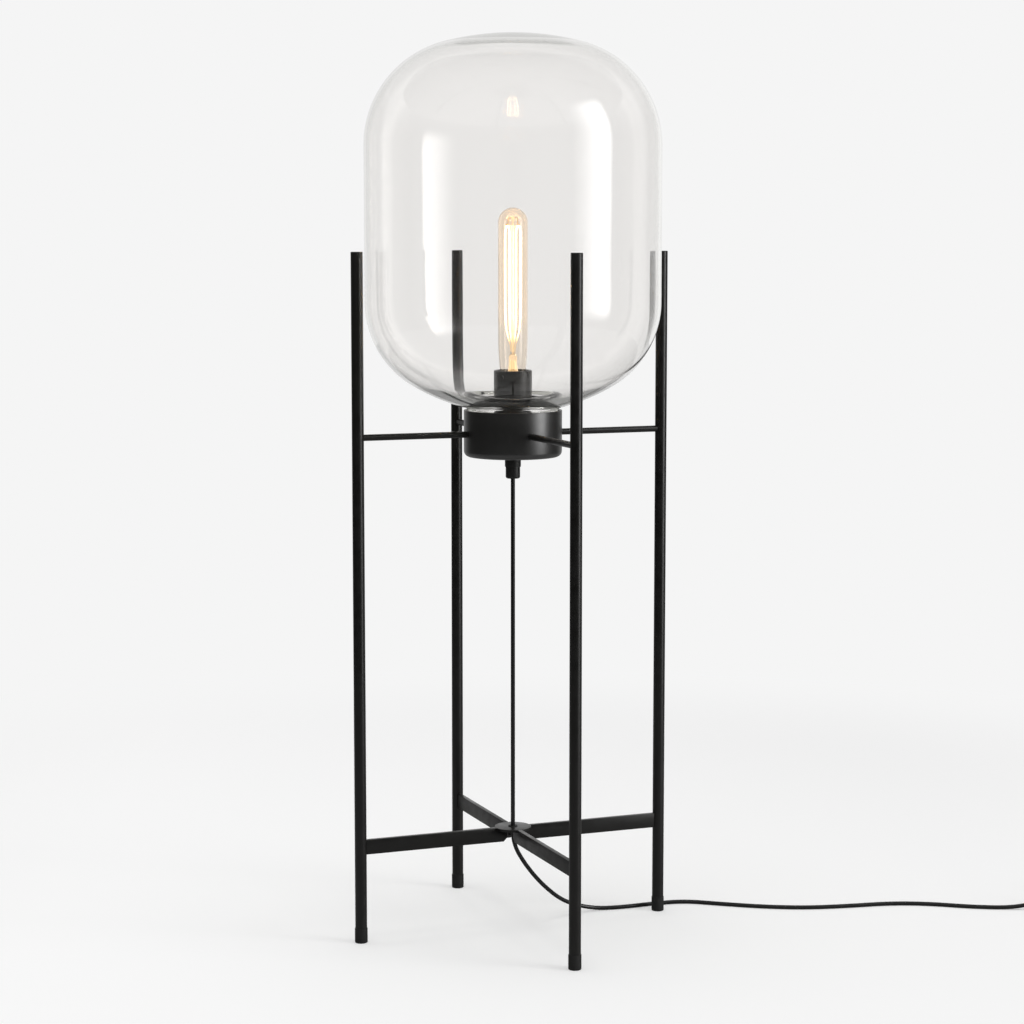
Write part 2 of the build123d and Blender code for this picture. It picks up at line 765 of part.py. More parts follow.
# Hooks: a post under each of the other strands, and an upper hook from the rod's button under each hairpin
hook_level = stem_rod_top - stem_button_height / 2
hook_reach = filament_circle / 2 * math.cos(math.radians(strand_angle / 2))
under_wire = filament_top - (filament_dia + hook_dia) / 2 - wire_gap
with BuildPart() as hooks:
    for strand in range(filament_strands):
        if strand * strand_angle % 180 != 0:
            with BuildSketch(Plane.XY.offset(stem_top)):
                with Locations(around(filament_foot_circle / 2, strand * strand_angle, 0)):
                    Circle(hook_dia / 2)
            extrude(amount=filament_post)
    for hairpin in range(filament_strands // 2):
        middle = (2 * hairpin + 0.5) * strand_angle
        hook_points = [
            around(stem_button_dia / 2 + wire_gap / 2, middle, hook_level),
            around(hook_reach - 2 * hook_dia, middle, hook_level + hook_dia),
            around(hook_reach - hook_dia, middle, under_wire),
            around(hook_reach + 2 * hook_dia, middle, under_wire - hook_dia / 2),
            around(hook_reach + 2.5 * hook_dia, middle, under_wire + 2 * hook_dia),
        ]
        add(lay_tube("hook", hook_points, hook_dia))
save(hooks.part, "filament_hooks")

# The cord's own directions over the floor
floor = Plane(origin=(0, 0, 0), x_dir=Vector(1, 0, 0).rotate(Axis.Z, cord_heading), z_dir=(0, 0, 1))
along_dir = floor.x_dir
across_dir = floor.y_dir


def place(along, across, height):
    """The point at those distances along and across the cord's heading."""
    return along_dir * along + across_dir * across + Vector(0, 0, height)


# Cord from the gland straight down through the plate, then over the floor to the foot switch
switch_along, switch_across = switch_centre
entry = pad_height + switch_split
cord_points = [
    (0, 0, sheath_end),
    (0, 0, 88),
    (12, 9, 64),
    (30.4, 22.8, 38),
    (54.4, 40.8, 14),
    (86, 59, cord_radius),
    (115, 64, cord_radius),
    (148, 78, cord_radius),
    (184, 89, cord_radius),
    (224, 77, cord_radius),
    (268, 66, cord_radius),
    (312, 62, cord_radius),
    (358, 69, cord_radius),
    (404, 80, cord_radius),
    (446, 78, cord_radius),
    (488, 66, cord_radius),
    (530, 62, cord_radius),
    (556, switch_across, entry),
    (switch_along - switch_length / 2 + cord_in_switch, switch_across, entry),
]
save(lay_tube("cord", [place(*point) for point in cord_points], cord_dia), "cord")

# Round coil of the spare cord: it winds inwards on the floor, climbs a layer and winds outwards again
coil_pitch = cord_dia + coil_turn_gap
coil_outer_radius = coil_inner_radius + turns_per_layer * coil_pitch
coil_across = switch_across + coil_outer_radius
layer_levels = (coil_lift + cord_radius, coil_lift + cord_radius + cord_dia + coil_layer_gap)
stations = []
for layer, level in enumerate(layer_levels):
    for step in range(2 * turns_per_layer + 1):
        inward_steps = step if layer == 0 else 2 * turns_per_layer - step
        radius = coil_outer_radius - inward_steps * coil_pitch / 2
        stations.append((radius, level))
coil_start = place(coil_centre_along - cord_dia, coil_across - coil_outer_radius, layer_levels[0])
coil_end = place(coil_centre_along - cord_dia, coil_across + coil_outer_radius, layer_levels[1])


def half_turn(start, end, heading):
    """Half a turn from start to end as two tangent arcs, level at both ends."""
    span = end - start
    middle = (start + end) / 2 + heading * (span.length / 2)
    TangentArc(start, middle, tangent=heading)
    TangentArc(middle, end, tangent=span)


with BuildPart() as cord_coil:
    with BuildLine() as coil_line:
        coil_places = [
            place(coil_centre_along, coil_across + (-radius if index % 2 == 0 else radius), level)
            for index, (radius, level) in enumerate(stations)
        ]
        Line(coil_start, coil_places[0])
        for index, (start, end) in enumerate(zip(coil_places, coil_places[1:])):
            half_turn(start, end, along_dir if index % 2 == 0 else -along_dir)
        Line(coil_places[-1], coil_end)
    with BuildSketch(Plane(origin=coil_start, z_dir=along_dir)):
        Circle(cord_radius)
    sweep()
save(cord_coil.part, "cord_coil")

# The coil's least gap to itself, measured between points that lie more than half a turn apart
coil_path = coil_line.wire()
coil_length = coil_path.length
sample_count = 800
samples = [tuple(coil_path @ (index / sample_count)) for index in range(sample_count + 1)]
apart = math.ceil(sample_count * math.pi * coil_inner_radius / coil_length)
nearest = min(
    math.dist(point, other)
    for index, point in enumerate(samples)
    for other in samples[index + apart :]
)
coil_share = cord_coil.part.volume / (coil_length * math.pi * cord_radius**2)
print("coil length", round(coil_length, 1), "volume share", round(coil_share, 4))
print("coil gap to itself", round(nearest - cord_dia, 2))

# Tie: a flat band round the whole bundle on the side away from the coil's two ends
tie_reach = tie_width / 2 + coil_pitch / 4
bundle_near = math.sqrt((coil_inner_radius + coil_pitch / 4) ** 2 - tie_reach**2) - cord_radius
bundle_far = coil_outer_radius - 0.75 * coil_pitch + cord_radius
bundle_top = layer_levels[1] + cord_radius
band_length = bundle_far - bundle_near + 2 * tie_play
band_height = bundle_top + tie_play - tie_thickness
band_middle = place(
    coil_centre_along - (bundle_near + bundle_far) / 2, coil_across, tie_thickness + band_height / 2
)
with BuildPart() as coil_tie:
    with BuildSketch(Plane(origin=band_middle, x_dir=along_dir, z_dir=across_dir)):
        RectangleRounded(band_length + 2 * tie_thickness, band_height + 2 * tie_thickness, cord_radius)
        RectangleRounded(band_length, band_height, cord_radius - tie_thickness, mode=Mode.SUBTRACT)
    extrude(amount=tie_width / 2, both=True)
save(coil_tie.part, "coil_tie")

# Foot switch: an oval base on four pads, its cover, and a round button over a sprung contact bridge
switch_floor = floor.shift_origin(place(switch_along, switch_across, 0))
base_floor = pad_height + switch_wall
cover_underside = switch_top - switch_wall
flange_level = cover_underside - flange_height
bridge_level = contact_level + button_travel + contact_gap
along_screws, across_screws = switch_screw_spread
screw_places = [(along_screws / 2, across_screws / 2), (-along_screws / 2, -across_screws / 2)]
cord_way = Plane(origin=place(switch_along, switch_across, entry), x_dir=across_dir, z_dir=along_dir)

with BuildPart() as switch_base:
    with BuildSketch(switch_floor.offset(pad_height)):
        SlotOverall(switch_length, switch_width)
    extrude(amount=switch_split)
    fillet(switch_base.edges().group_by(Axis.Z)[0], switch_wall / 2)
    with BuildSketch(switch_floor.offset(base_floor)):
        SlotOverall(switch_length - 2 * switch_wall, switch_width - 2 * switch_wall)
    extrude(amount=switch_split, mode=Mode.SUBTRACT)
    with BuildSketch(switch_floor.offset(base_floor)):
        with Locations(*screw_places):
            Circle(screw_boss_dia / 2)
    extrude(amount=entry - base_floor)
    with BuildSketch(switch_floor.offset(base_floor)):
        Circle(spring_dia / 2 - 1.5 * spring_wire)
    extrude(amount=spring_wire)
    with BuildSketch(switch_floor.offset(pad_height)):
        with Locations(*screw_places):
            Circle(switch_screw_dia / 2)
    extrude(amount=switch_split, mode=Mode.SUBTRACT)
    with BuildSketch(switch_floor.offset(pad_height)):
        with Locations(*screw_places):
            Circle(switch_head_dia / 2)
    extrude(amount=switch_head_height, mode=Mode.SUBTRACT)
    with BuildSketch(cord_way):
        Circle(cord_radius + cord_play)
    extrude(amount=switch_length, both=True, mode=Mode.SUBTRACT)
save(switch_base.part, "switch_base")

with BuildPart() as switch_cover:
    with BuildSketch(switch_floor.offset(entry)):
        SlotOverall(switch_length, switch_width)
    extrude(amount=switch_top - entry)
    fillet(switch_cover.edges().group_by(Axis.Z)[-1], switch_edge)
    with BuildSketch(switch_floor.offset(entry)):
        SlotOverall(switch_length - 2 * switch_wall, switch_width - 2 * switch_wall)
    extrude(amount=cover_underside - entry, mode=Mode.SUBTRACT)
    with BuildSketch(switch_floor.offset(entry)):
        with Locations(*screw_places):
            Circle(screw_boss_dia / 2)
    extrude(amount=cover_underside - entry)
    with BuildSketch(switch_floor.offset(cover_underside)):
        Circle(button_dia / 2 + button_play)
    extrude(amount=switch_wall, mode=Mode.SUBTRACT)
    with BuildSketch(switch_floor.offset(entry)):
        with Locations(*screw_places):
            Circle(switch_screw_dia / 2)
    extrude(amount=pad_height + switch_screw_length - entry, mode=Mode.SUBTRACT)
    with BuildSketch(cord_way):
        Circle(cord_radius + cord_play)
    extrude(amount=switch_length, both=True, mode=Mode.SUBTRACT)
save(switch_cover.part, "switch_cover")

# Button: a cap with a flange under the cover and a plunger that carries the bridge
with BuildPart() as button:
    with BuildSketch(switch_floor.offset(flange_level)):
        Circle(button_dia / 2)
    extrude(amount=switch_top + button_proud - flange_level)
    fillet(button.edges().filter_by(GeomType.CIRCLE).sort_by(Axis.Z)[-1], button_edge)
    with BuildSketch(switch_floor.offset(flange_level)):
        Circle(button_dia / 2 + button_flange)
    extrude(amount=flange_height)
    with BuildSketch(switch_floor.offset(flange_level)):
        Circle(button_dia / 2 - switch_wall)
    extrude(amount=switch_top + button_proud - switch_wall - flange_level, mode=Mode.SUBTRACT)
    with BuildSketch(switch_floor.offset(bridge_level + bridge_thickness)):
        Circle(plunger_dia / 2)
    extrude(amount=switch_top + button_proud - switch_wall - bridge_level - bridge_thickness)
save(button.part, "switch_button")

with BuildPart() as contact_bridge:
    with BuildSketch(switch_floor.offset(bridge_level)):
        Rectangle(bridge_length, bridge_width)
    extrude(amount=bridge_thickness)
save(contact_bridge.part, "contact_bridge")

# Spring between the base and the bridge, wound in half turns that each rise half a pitch
with BuildPart() as spring:
    with BuildLine():
        rise = (bridge_level - base_floor - spring_wire) / (2 * spring_turns)
        reach = (spring_dia - spring_wire) / 2
        foot_level = base_floor + spring_wire / 2
        ends = [
            place(switch_along, switch_across + (-reach if index % 2 == 0 else reach), foot_level + rise * index)
            for index in range(2 * spring_turns + 1)
        ]
        for index, (start, end) in enumerate(zip(ends, ends[1:])):
            half_turn(start, end, along_dir if index % 2 == 0 else -along_dir)
    with BuildSketch(Plane(origin=ends[0], z_dir=along_dir)):
        Circle(spring_wire / 2)
    sweep()
save(spring.part, "switch_spring")

# Two bent contact strips on the base, under the ends of the bridge
with BuildPart() as contacts:
    for side in (-1, 1):
        strip_origin = place(switch_along, switch_across, base_floor)
        strip_plane = Plane(origin=strip_origin, x_dir=along_dir * side, z_dir=-across_dir * side)
        with BuildSketch(strip_plane):
            with BuildLine():
                Polyline(
                    (strip_reach + strip_foot, 0),
                    (strip_reach - strip_thickness, 0),
                    (strip_reach - strip_thickness, contact_level - base_floor - strip_thickness),
                    (strip_reach - strip_foot, contact_level - base_floor - strip_thickness),
                    (strip_reach - strip_foot, contact_level - base_floor),
                    (strip_reach, contact_level - base_floor),
                    (strip_reach, strip_thickness),
                    (strip_reach + strip_foot, strip_thickness),
                    close=True,
                )
            make_face()
        extrude(amount=strip_width / 2, both=True)
save(contacts.part, "switch_contacts")

# Wires inside the switch: the live one is broken at the contacts, the neutral one goes straight through
wire_start = switch_length / 2 - cord_in_switch
with BuildPart() as switch_wires:
    for side in (-1, 1):
        live_points = [
            place(switch_along + side * wire_start, switch_across - wire_offset, entry),
            place(switch_along + side * (wire_start - wire_straight), switch_across - wire_offset, entry),
            place(switch_along + side * (strip_reach + wire_straight), switch_across, entry - wire_offset),
            place(switch_along + side * strip_reach, switch_across, entry - wire_offset),
        ]
        add(lay_tube("live wire", live_points, wire_dia))
    neutral_points = [
        place(switch_along + side * reach, switch_across + aside, level)
        for side, reach, aside, level in (
            (-1, wire_start, wire_offset, entry),
            (-1, wire_start - wire_straight, wire_offset, entry),
            (-1, strip_reach, neutral_aside, entry - 2 * wire_offset),
            (1, strip_reach, neutral_aside, entry - 2 * wire_offset),
            (1, wire_start - wire_straight, wire_offset, entry),
            (1, wire_start, wire_offset, entry),
        )
    ]
    add(lay_tube("neutral wire", neutral_points, wire_dia))
save(switch_wires.part, "switch_wires")

# Saddles that hold the cord's sheath to the base, one inside each end of the housing
with BuildPart() as cord_saddles:
    for side in (-1, 1):
        saddle_middle = switch_along + side * (switch_length / 2 - switch_wall - saddle_inset)
        saddle_foot = place(saddle_middle, switch_across, base_floor)
        saddle_height = entry + cord_radius + switch_wall - base_floor
        with BuildSketch(Plane(origin=saddle_foot, x_dir=across_dir, z_dir=along_dir)):
            Rectangle(saddle_width, saddle_height, align=(Align.CENTER, Align.MIN))
            with Locations((0, entry - base_floor)):
                Circle(cord_radius + cord_play, mode=Mode.SUBTRACT)
            sheath_width = cord_dia + 2 * cord_play
            Rectangle(sheath_width, entry - base_floor, align=(Align.CENTER, Align.MIN), mode=Mode.SUBTRACT)
        extrude(amount=saddle_length / 2, both=True)
save(cord_saddles.part, "cord_saddles")

with BuildPart() as switch_screws:
    with BuildSketch(switch_floor.offset(pad_height)):
        with Locations(*screw_places):
            Circle(switch_screw_dia / 2)
    extrude(amount=switch_screw_length)
    with BuildSketch(switch_floor.offset(pad_height)):
        with Locations(*screw_places):
            Circle(switch_head_dia / 2)
    extrude(amount=switch_head_height)
save(switch_screws.part, "switch_screws")

with BuildPart() as switch_pads:
    with BuildSketch(switch_floor):
        with GridLocations(*pad_spread, 2, 2):
            Circle(pad_dia / 2)
    extrude(amount=pad_height)
save(switch_pads.part, "switch_pads")

# Second stretch of cord, from the switch down to the coil
switch_end = switch_along + switch_length / 2
link_points = [
    (switch_end - cord_in_switch, switch_across, entry),
    (switch_end + link_straight, switch_across, entry),
    (switch_end + link_straight + link_drop_run, switch_across, layer_levels[0]),
    (coil_centre_along - cord_dia, switch_across, layer_levels[0]),
]
save(lay_tube("link", [place(*point) for point in link_points], cord_dia), "cord_link")

# Last stretch, from the coil's top layer down into the sleeve of the plug
plug_across = coil_across + coil_outer_radius
plug_height = plug_thickness / 2
sleeve_end = coil_centre_along - plug_lead
body_rear = sleeve_end - sleeve_length
body_face = body_rear - plug_length
last_points = [
    (coil_centre_along - cord_dia, plug_across, layer_levels[1]),
    (sleeve_end + lead_straight + lead_drop_run, plug_across, layer_levels[1]),
    (sleeve_end + lead_straight, plug_across, plug_height),
    (sleeve_end - sleeve_grip, plug_across, plug_height),
]
save(lay_tube("last stretch", [place(*point) for point in last_points], cord_dia), "cord_end")


def plug_plane(along):
    """A plane across the plug at that place, facing the way its pins point."""
    return Plane(origin=place(along, plug_across, plug_height), x_dir=-across_dir, z_dir=-along_dir)


# Flat two-pin plug: its grip narrows towards the cord, behind a full section at the pins
with BuildPart() as plug_body:
    with BuildSketch(plug_plane(body_rear)):
        RectangleRounded(plug_rear_width, plug_rear_thickness, plug_corner)
    with BuildSketch(plug_plane(body_face + plug_face_length)):
        RectangleRounded(plug_width, plug_thickness, plug_corner)
    loft()
    with BuildSketch(plug_plane(body_face + plug_face_length)):
        RectangleRounded(plug_width, plug_thickness, plug_corner)
    extrude(amount=plug_face_length)
    with BuildSketch(plug_plane(body_face + plug_pin_grip)):
        with Locations((plug_pin_spread / 2, 0), (-plug_pin_spread / 2, 0)):
            Circle(plug_pin_dia / 2)
    extrude(amount=plug_pin_grip, mode=Mode.SUBTRACT)
save(plug_body.part, "plug_body")

with BuildPart() as plug_pins:
    with BuildSketch(plug_plane(body_face + plug_pin_grip)):
        with Locations((plug_pin_spread / 2, 0), (-plug_pin_spread / 2, 0)):
            Circle(plug_pin_dia / 2)
    extrude(amount=plug_pin_grip + plug_pin_length)
    pin_rings = plug_pins.edges().filter_by(GeomType.CIRCLE)
    fillet(pin_rings.sort_by(Axis((0, 0, 0), along_dir))[:2], plug_pin_edge)
save(plug_pins.part, "plug_pins")

# Ribbed sleeve that tapers from the plug to the cord
with BuildPart() as sleeve:
    with BuildSketch(plug_plane(sleeve_end)):
        Circle(sleeve_front_dia / 2)
    with BuildSketch(plug_plane(body_rear)):
        Circle(sleeve_rear_dia / 2)
    loft()
    for rib in range(sleeve_ribs):
        rib_place = sleeve_end - (rib + 0.5) * sleeve_length / sleeve_ribs
        with BuildSketch(plug_plane(rib_place)):
            Circle(sleeve_rear_dia / 2)
            Circle(cord_radius + sleeve_wall, mode=Mode.SUBTRACT)
        extrude(amount=sleeve_groove, mode=Mode.SUBTRACT)
    with BuildSketch(plug_plane(sleeve_end)):
        Circle(cord_radius + cord_play)
    extrude(amount=sleeve_grip, mode=Mode.SUBTRACT)
save(sleeve.part, "plug_sleeve")
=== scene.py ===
import math

import bmesh
import bpy
from mathutils import Matrix, Vector


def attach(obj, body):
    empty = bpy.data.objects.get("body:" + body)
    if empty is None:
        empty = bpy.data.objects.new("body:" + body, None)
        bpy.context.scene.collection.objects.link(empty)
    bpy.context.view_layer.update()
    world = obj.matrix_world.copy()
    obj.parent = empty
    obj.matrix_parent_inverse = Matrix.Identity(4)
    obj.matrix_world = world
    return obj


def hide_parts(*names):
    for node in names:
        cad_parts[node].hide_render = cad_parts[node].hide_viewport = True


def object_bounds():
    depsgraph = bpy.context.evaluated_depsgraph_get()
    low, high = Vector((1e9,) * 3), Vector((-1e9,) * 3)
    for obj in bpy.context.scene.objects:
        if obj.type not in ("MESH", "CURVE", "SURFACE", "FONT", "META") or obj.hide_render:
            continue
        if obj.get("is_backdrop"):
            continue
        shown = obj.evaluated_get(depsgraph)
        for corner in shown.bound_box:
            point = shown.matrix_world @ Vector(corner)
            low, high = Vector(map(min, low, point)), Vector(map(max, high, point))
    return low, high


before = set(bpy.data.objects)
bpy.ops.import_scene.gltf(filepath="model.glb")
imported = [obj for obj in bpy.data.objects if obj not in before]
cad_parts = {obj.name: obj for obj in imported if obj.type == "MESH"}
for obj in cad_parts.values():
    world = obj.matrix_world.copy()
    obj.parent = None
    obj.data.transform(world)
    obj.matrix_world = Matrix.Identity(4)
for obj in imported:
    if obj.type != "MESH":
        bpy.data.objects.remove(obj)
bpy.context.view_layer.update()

# Studio: a matt pale floor that runs off into a white backdrop, one tall soft lamp at the right of the
# camera and a soft ceiling lamp. The backdrop stands behind the floor lamp, the room before it is dim, and
# only mirrored rays show that room.
camera_turn = math.radians(-21.477)
camera_tilt = math.radians(6.446)
camera_place = (-0.000913, -2.5394, 0.7201)
backdrop_white = "#f5f5f5"
white_in_glass = "#f7f7f7"
room_light = 0.46
# How bright mirrored rays see the room, from the camera's side (0) round to the backdrop (1): paint mirrors
# a dim room with a pale end, and glass also the bright edges of the backdrop
room_in_paint = {0.0: 0.02, 0.53: 0.03, 0.78: 0.05, 0.9: 0.4, 0.99: 0.8}
room_in_glass = {0.0: 0.1, 0.53: 0.11, 0.6: 0.3, 0.7: 0.55, 0.74: 1.0, 0.78: 0.95}
room_in_glass |= {0.82: 0.66, 0.95: 0.66, 0.99: 0.91}


def linear(code):
    """Linear colour of an sRGB hex code."""
    parts = [int(code[start : start + 2], 16) / 255 for start in (1, 3, 5)]
    return [part / 12.92 if part <= 0.04045 else ((part + 0.055) / 1.055) ** 2.4 for part in parts] + [1]


def add_node(owner, kind, inputs=None, **settings):
    """Adds a node: each input is a number, a colour or another node's output."""
    node = owner.node_tree.nodes.new(kind)
    for name, value in settings.items():
        setattr(node, name, value)
    for name, value in (inputs or {}).items():
        if isinstance(value, bpy.types.NodeSocket):
            owner.node_tree.links.new(value, node.inputs[name])
        else:
            node.inputs[name].default_value = value
    return node


# The tall lamp's place right of the camera, the point it looks at, its width, height and brightness. It
# fades towards the camera and at its ends.
side_lamp = ((3.28, -1.58, 1.4), (0, 0, 0.72), 2.2, 4.5, 5.8)
side_falloff = [(-0.1, 0.85, 0), (1.0, 0.9, 0), (0.03, 0.3, 1), (0.99, 0.8, 1)]


def faded_panel(owner, spread, falloff):
    """Brightness over a panel that fades at its edges: spread is the place across it and up it."""
    brightness = 1.0
    for start, end, along in falloff:
        edge = add_node(
            owner,
            "ShaderNodeMapRange",
            {"Value": spread[along], "From Min": start, "From Max": end},
            interpolation_type="SMOOTHSTEP",
        )
        brightness = add_node(
            owner, "ShaderNodeMath", {0: brightness, 1: edge.outputs["Result"]}, operation="MULTIPLY"
        ).outputs[0]
    return brightness


facing = Matrix.Rotation(camera_turn, 4, "Z")
camera_data = bpy.data.cameras.new("camera")
camera_data.lens = 88
camera_data.sensor_width = 36
camera = bpy.data.objects.new("camera", camera_data)
camera.matrix_world = (
    facing @ Matrix.Translation(camera_place) @ Matrix.Rotation(math.pi / 2 - camera_tilt, 4, "X")
)
bpy.context.scene.collection.objects.link(camera)
bpy.context.scene.camera = camera
bpy.context.scene.view_settings.view_transform = "Standard"

world = bpy.data.worlds.new("studio")
world.use_nodes = True
world.node_tree.nodes.clear()
bpy.context.scene.world = world
white = add_node(world, "ShaderNodeBackground", {"Color": linear(backdrop_white)})
ambient = add_node(world, "ShaderNodeBackground", {"Color": (1, 1, 1, 1), "Strength": room_light})
direction = add_node(world, "ShaderNodeTexCoord").outputs["Generated"]
behind = add_node(
    world, "ShaderNodeVectorMath", {0: direction, 1: facing @ Vector((0, 1, 0))}, operation="DOT_PRODUCT"
)
share = add_node(world, "ShaderNodeMapRange", {"Value": behind.outputs["Value"], "From Min": -1.0})
beside = add_node(
    world, "ShaderNodeVectorMath", {0: direction, 1: facing @ Vector((1, 0, 0))}, operation="DOT_PRODUCT"
)
lamp_side = add_node(
    world, "ShaderNodeMapRange", {"Value": beside.outputs["Value"], "To Min": 1.08, "To Max": 1.5}
)
upward = add_node(world, "ShaderNodeSeparateXYZ", {0: direction}).outputs["Z"]
overhead = add_node(
    world, "ShaderNodeMapRange", {"Value": upward, "From Min": 0.14, "From Max": 0.4, "To Max": 0.6}
)
rooms = []
for levels, strength in ((room_in_paint, 1.0), (room_in_glass, lamp_side.outputs["Result"])):
    walls = add_node(world, "ShaderNodeValToRGB", {"Fac": share.outputs["Result"]})
    for place, level in levels.items():
        walls.color_ramp.elements.new(place).color = (level, level, level, 1)
    seen_walls = walls.outputs["Color"]
    if levels is room_in_paint:
        seen_walls = add_node(
            world, "ShaderNodeMath", {0: seen_walls, 1: overhead.outputs["Result"]}, operation="MAXIMUM"
        ).outputs[0]
    rooms.append(add_node(world, "ShaderNodeBackground", {"Color": seen_walls, "Strength": strength}))

# Glass shows the tall lamp in its mirrored rays alone, so from behind nobody sees the lamp through the
# globe. An area lamp shines at a quarter of its power for each square metre, which is pi / 4 here.
place, target, width, height, radiance = side_lamp
lamp_away = facing @ (Vector(place) - Vector(target))
lamp_ahead = lamp_away.normalized()
lamp_across = Vector((0, 0, 1)).cross(lamp_ahead).normalized()
lamp_up = lamp_ahead.cross(lamp_across)
ahead = add_node(
    world, "ShaderNodeVectorMath", {0: direction, 1: lamp_ahead}, operation="DOT_PRODUCT"
).outputs["Value"]
spread = []
for axis, size in ((lamp_across, width), (lamp_up, height)):
    along = add_node(
        world, "ShaderNodeVectorMath", {0: direction, 1: axis}, operation="DOT_PRODUCT"
    ).outputs["Value"]
    slope = add_node(world, "ShaderNodeMath", {0: along, 1: ahead}, operation="DIVIDE").outputs[0]
    spread.append(
        add_node(
            world, "ShaderNodeMath", {0: slope, 1: lamp_away.length / size, 2: 0.5}, operation="MULTIPLY_ADD"
        ).outputs[0]
    )
in_front = add_node(world, "ShaderNodeMath", {0: ahead, 1: 0.1}, operation="GREATER_THAN").outputs[0]
glowing = add_node(
    world, "ShaderNodeMath", {0: faded_panel(world, spread, side_falloff), 1: in_front}, operation="MULTIPLY"
).outputs[0]
glowing = add_node(
    world, "ShaderNodeMath", {0: glowing, 1: radiance * math.pi / 4}, operation="MULTIPLY"
).outputs[0]
lamp_in_glass = add_node(world, "ShaderNodeBackground", {"Color": (1, 1, 1, 1), "Strength": glowing})
rooms[1] = add_node(world, "ShaderNodeAddShader", {0: rooms[1].outputs[0], 1: lamp_in_glass.outputs[0]})

# The camera sees white, glass the white behind it, mirrored rays the room, and everything else soft light
rays = add_node(world, "ShaderNodeLightPath").outputs
unlit = add_node(
    world, "ShaderNodeMixShader", {0: rays["Is Camera Ray"], 1: ambient.outputs[0], 2: white.outputs[0]}
)
behind_glass = add_node(world, "ShaderNodeBackground", {"Color": linear(white_in_glass)})
seen = add_node(
    world,
    "ShaderNodeMixShader",
    {0: rays["Is Transmission Ray"], 1: unlit.outputs[0], 2: behind_glass.outputs[0]},
)
in_glass = add_node(world, "ShaderNodeMath", {0: rays["Transmission Depth"], 1: 0.5}, operation="GREATER_THAN")
room = add_node(
    world, "ShaderNodeMixShader", {0: in_glass.outputs[0], 1: rooms[0].outputs[0], 2: rooms[1].outputs[0]}
)
mirrored = add_node(world, "ShaderNodeMath", {0: rays["Glossy Depth"], 1: 0.5}, operation="GREATER_THAN")
studio = add_node(
    world, "ShaderNodeMixShader", {0: mirrored.outputs[0], 1: seen.outputs[0], 2: room.outputs[0]}
)
add_node(world, "ShaderNodeOutputWorld", {"Surface": studio.outputs[0]})


def new_material(name):
    """An empty node material."""
    material = bpy.data.materials.new(name)
    material.use_nodes = True
    material.node_tree.nodes.clear()
    return material


def to_object(name, mesh, material):
    """Puts a finished bmesh in the scene, smooth but for its hard edges."""
    data = bpy.data.meshes.new(name)
    mesh.to_mesh(data)
    mesh.free()
    data.shade_smooth()
    data.set_sharp_from_angle(angle=math.radians(32))
    data.materials.append(material)
    made = bpy.data.objects.new(name, data)
    bpy.context.scene.collection.objects.link(made)
    return made


# Matt floor paint: no gloss, so it shows soft shadows alone. Straight and through glass it is lifted evenly
# to the backdrop's white and fades into it, and mirrors show it darker.
floor_grey = "#c8c8c8"
floor_in_mirrors = "#959595"
floor_lift = (0.43, 0.352)
floor_in_glass = 0.1
floor_fade = (0.9, 1.5)
floor_radius = 1.6
floor_paint = new_material("matt pale floor paint")
spot = add_node(floor_paint, "ShaderNodeTexCoord").outputs["Object"]
away = add_node(floor_paint, "ShaderNodeVectorMath", {0: spot}, operation="LENGTH")
fade = add_node(
    floor_paint,
    "ShaderNodeMapRange",
    {"Value": away.outputs["Value"], "From Min": floor_fade[0], "From Max": floor_fade[1]},
    interpolation_type="SMOOTHSTEP",
)
rays = add_node(floor_paint, "ShaderNodeLightPath").outputs
paint = add_node(
    floor_paint,
    "ShaderNodeMix",
    {"Factor": rays["Glossy Depth"], 6: linear(floor_grey), 7: linear(floor_in_mirrors)},
    data_type="RGBA",
    clamp_factor=True,
)
painted = add_node(floor_paint, "ShaderNodeBsdfDiffuse", {"Color": paint.outputs[2]})
toward_lamp = add_node(
    floor_paint, "ShaderNodeVectorMath", {0: spot, 1: facing @ Vector((1, 0, 0))}, operation="DOT_PRODUCT"
)
even = add_node(
    floor_paint,
    "ShaderNodeMapRange",
    {"Value": toward_lamp.outputs["Value"], "From Min": -0.5, "From Max": 0.5}
    | {"To Min": floor_lift[0], "To Max": floor_lift[1]},
)
lift = add_node(
    floor_paint, "ShaderNodeEmission", {"Color": linear(backdrop_white), "Strength": even.outputs["Result"]}
)
raised = add_node(floor_paint, "ShaderNodeAddShader", {0: painted.outputs[0], 1: lift.outputs[0]})
faded = add_node(floor_paint, "ShaderNodeEmission", {"Color": linear(backdrop_white)})
pale = add_node(
    floor_paint, "ShaderNodeMixShader", {0: fade.outputs["Result"], 1: raised.outputs[0], 2: faded.outputs[0]}
)
straight = add_node(
    floor_paint,
    "ShaderNodeMath",
    {0: rays["Is Camera Ray"], 1: rays["Is Transmission Ray"]},
    operation="MAXIMUM",
)
direct = add_node(
    floor_paint,
    "ShaderNodeMath",
    {0: straight.outputs[0], 1: rays["Glossy Depth"]},
    operation="SUBTRACT",
    use_clamp=True,
)
past_glass = add_node(
    floor_paint, "ShaderNodeMath", {0: rays["Transmission Depth"], 1: floor_in_glass}, operation="MULTIPLY"
)
past_glass = add_node(
    floor_paint, "ShaderNodeMath", {0: past_glass.outputs[0], 1: floor_in_glass}, operation="MINIMUM"
)
past_glass = add_node(
    floor_paint,
    "ShaderNodeMath",
    {0: past_glass.outputs[0], 1: rays["Is Diffuse Ray"]},
    operation="SUBTRACT",
    use_clamp=True,
)
shown = add_node(
    floor_paint, "ShaderNodeMath", {0: direct.outputs[0], 1: past_glass.outputs[0]}, operation="MAXIMUM"
)
surface = add_node(
    floor_paint, "ShaderNodeMixShader", {0: shown.outputs[0], 1: painted.outputs[0], 2: pale.outputs[0]}
)
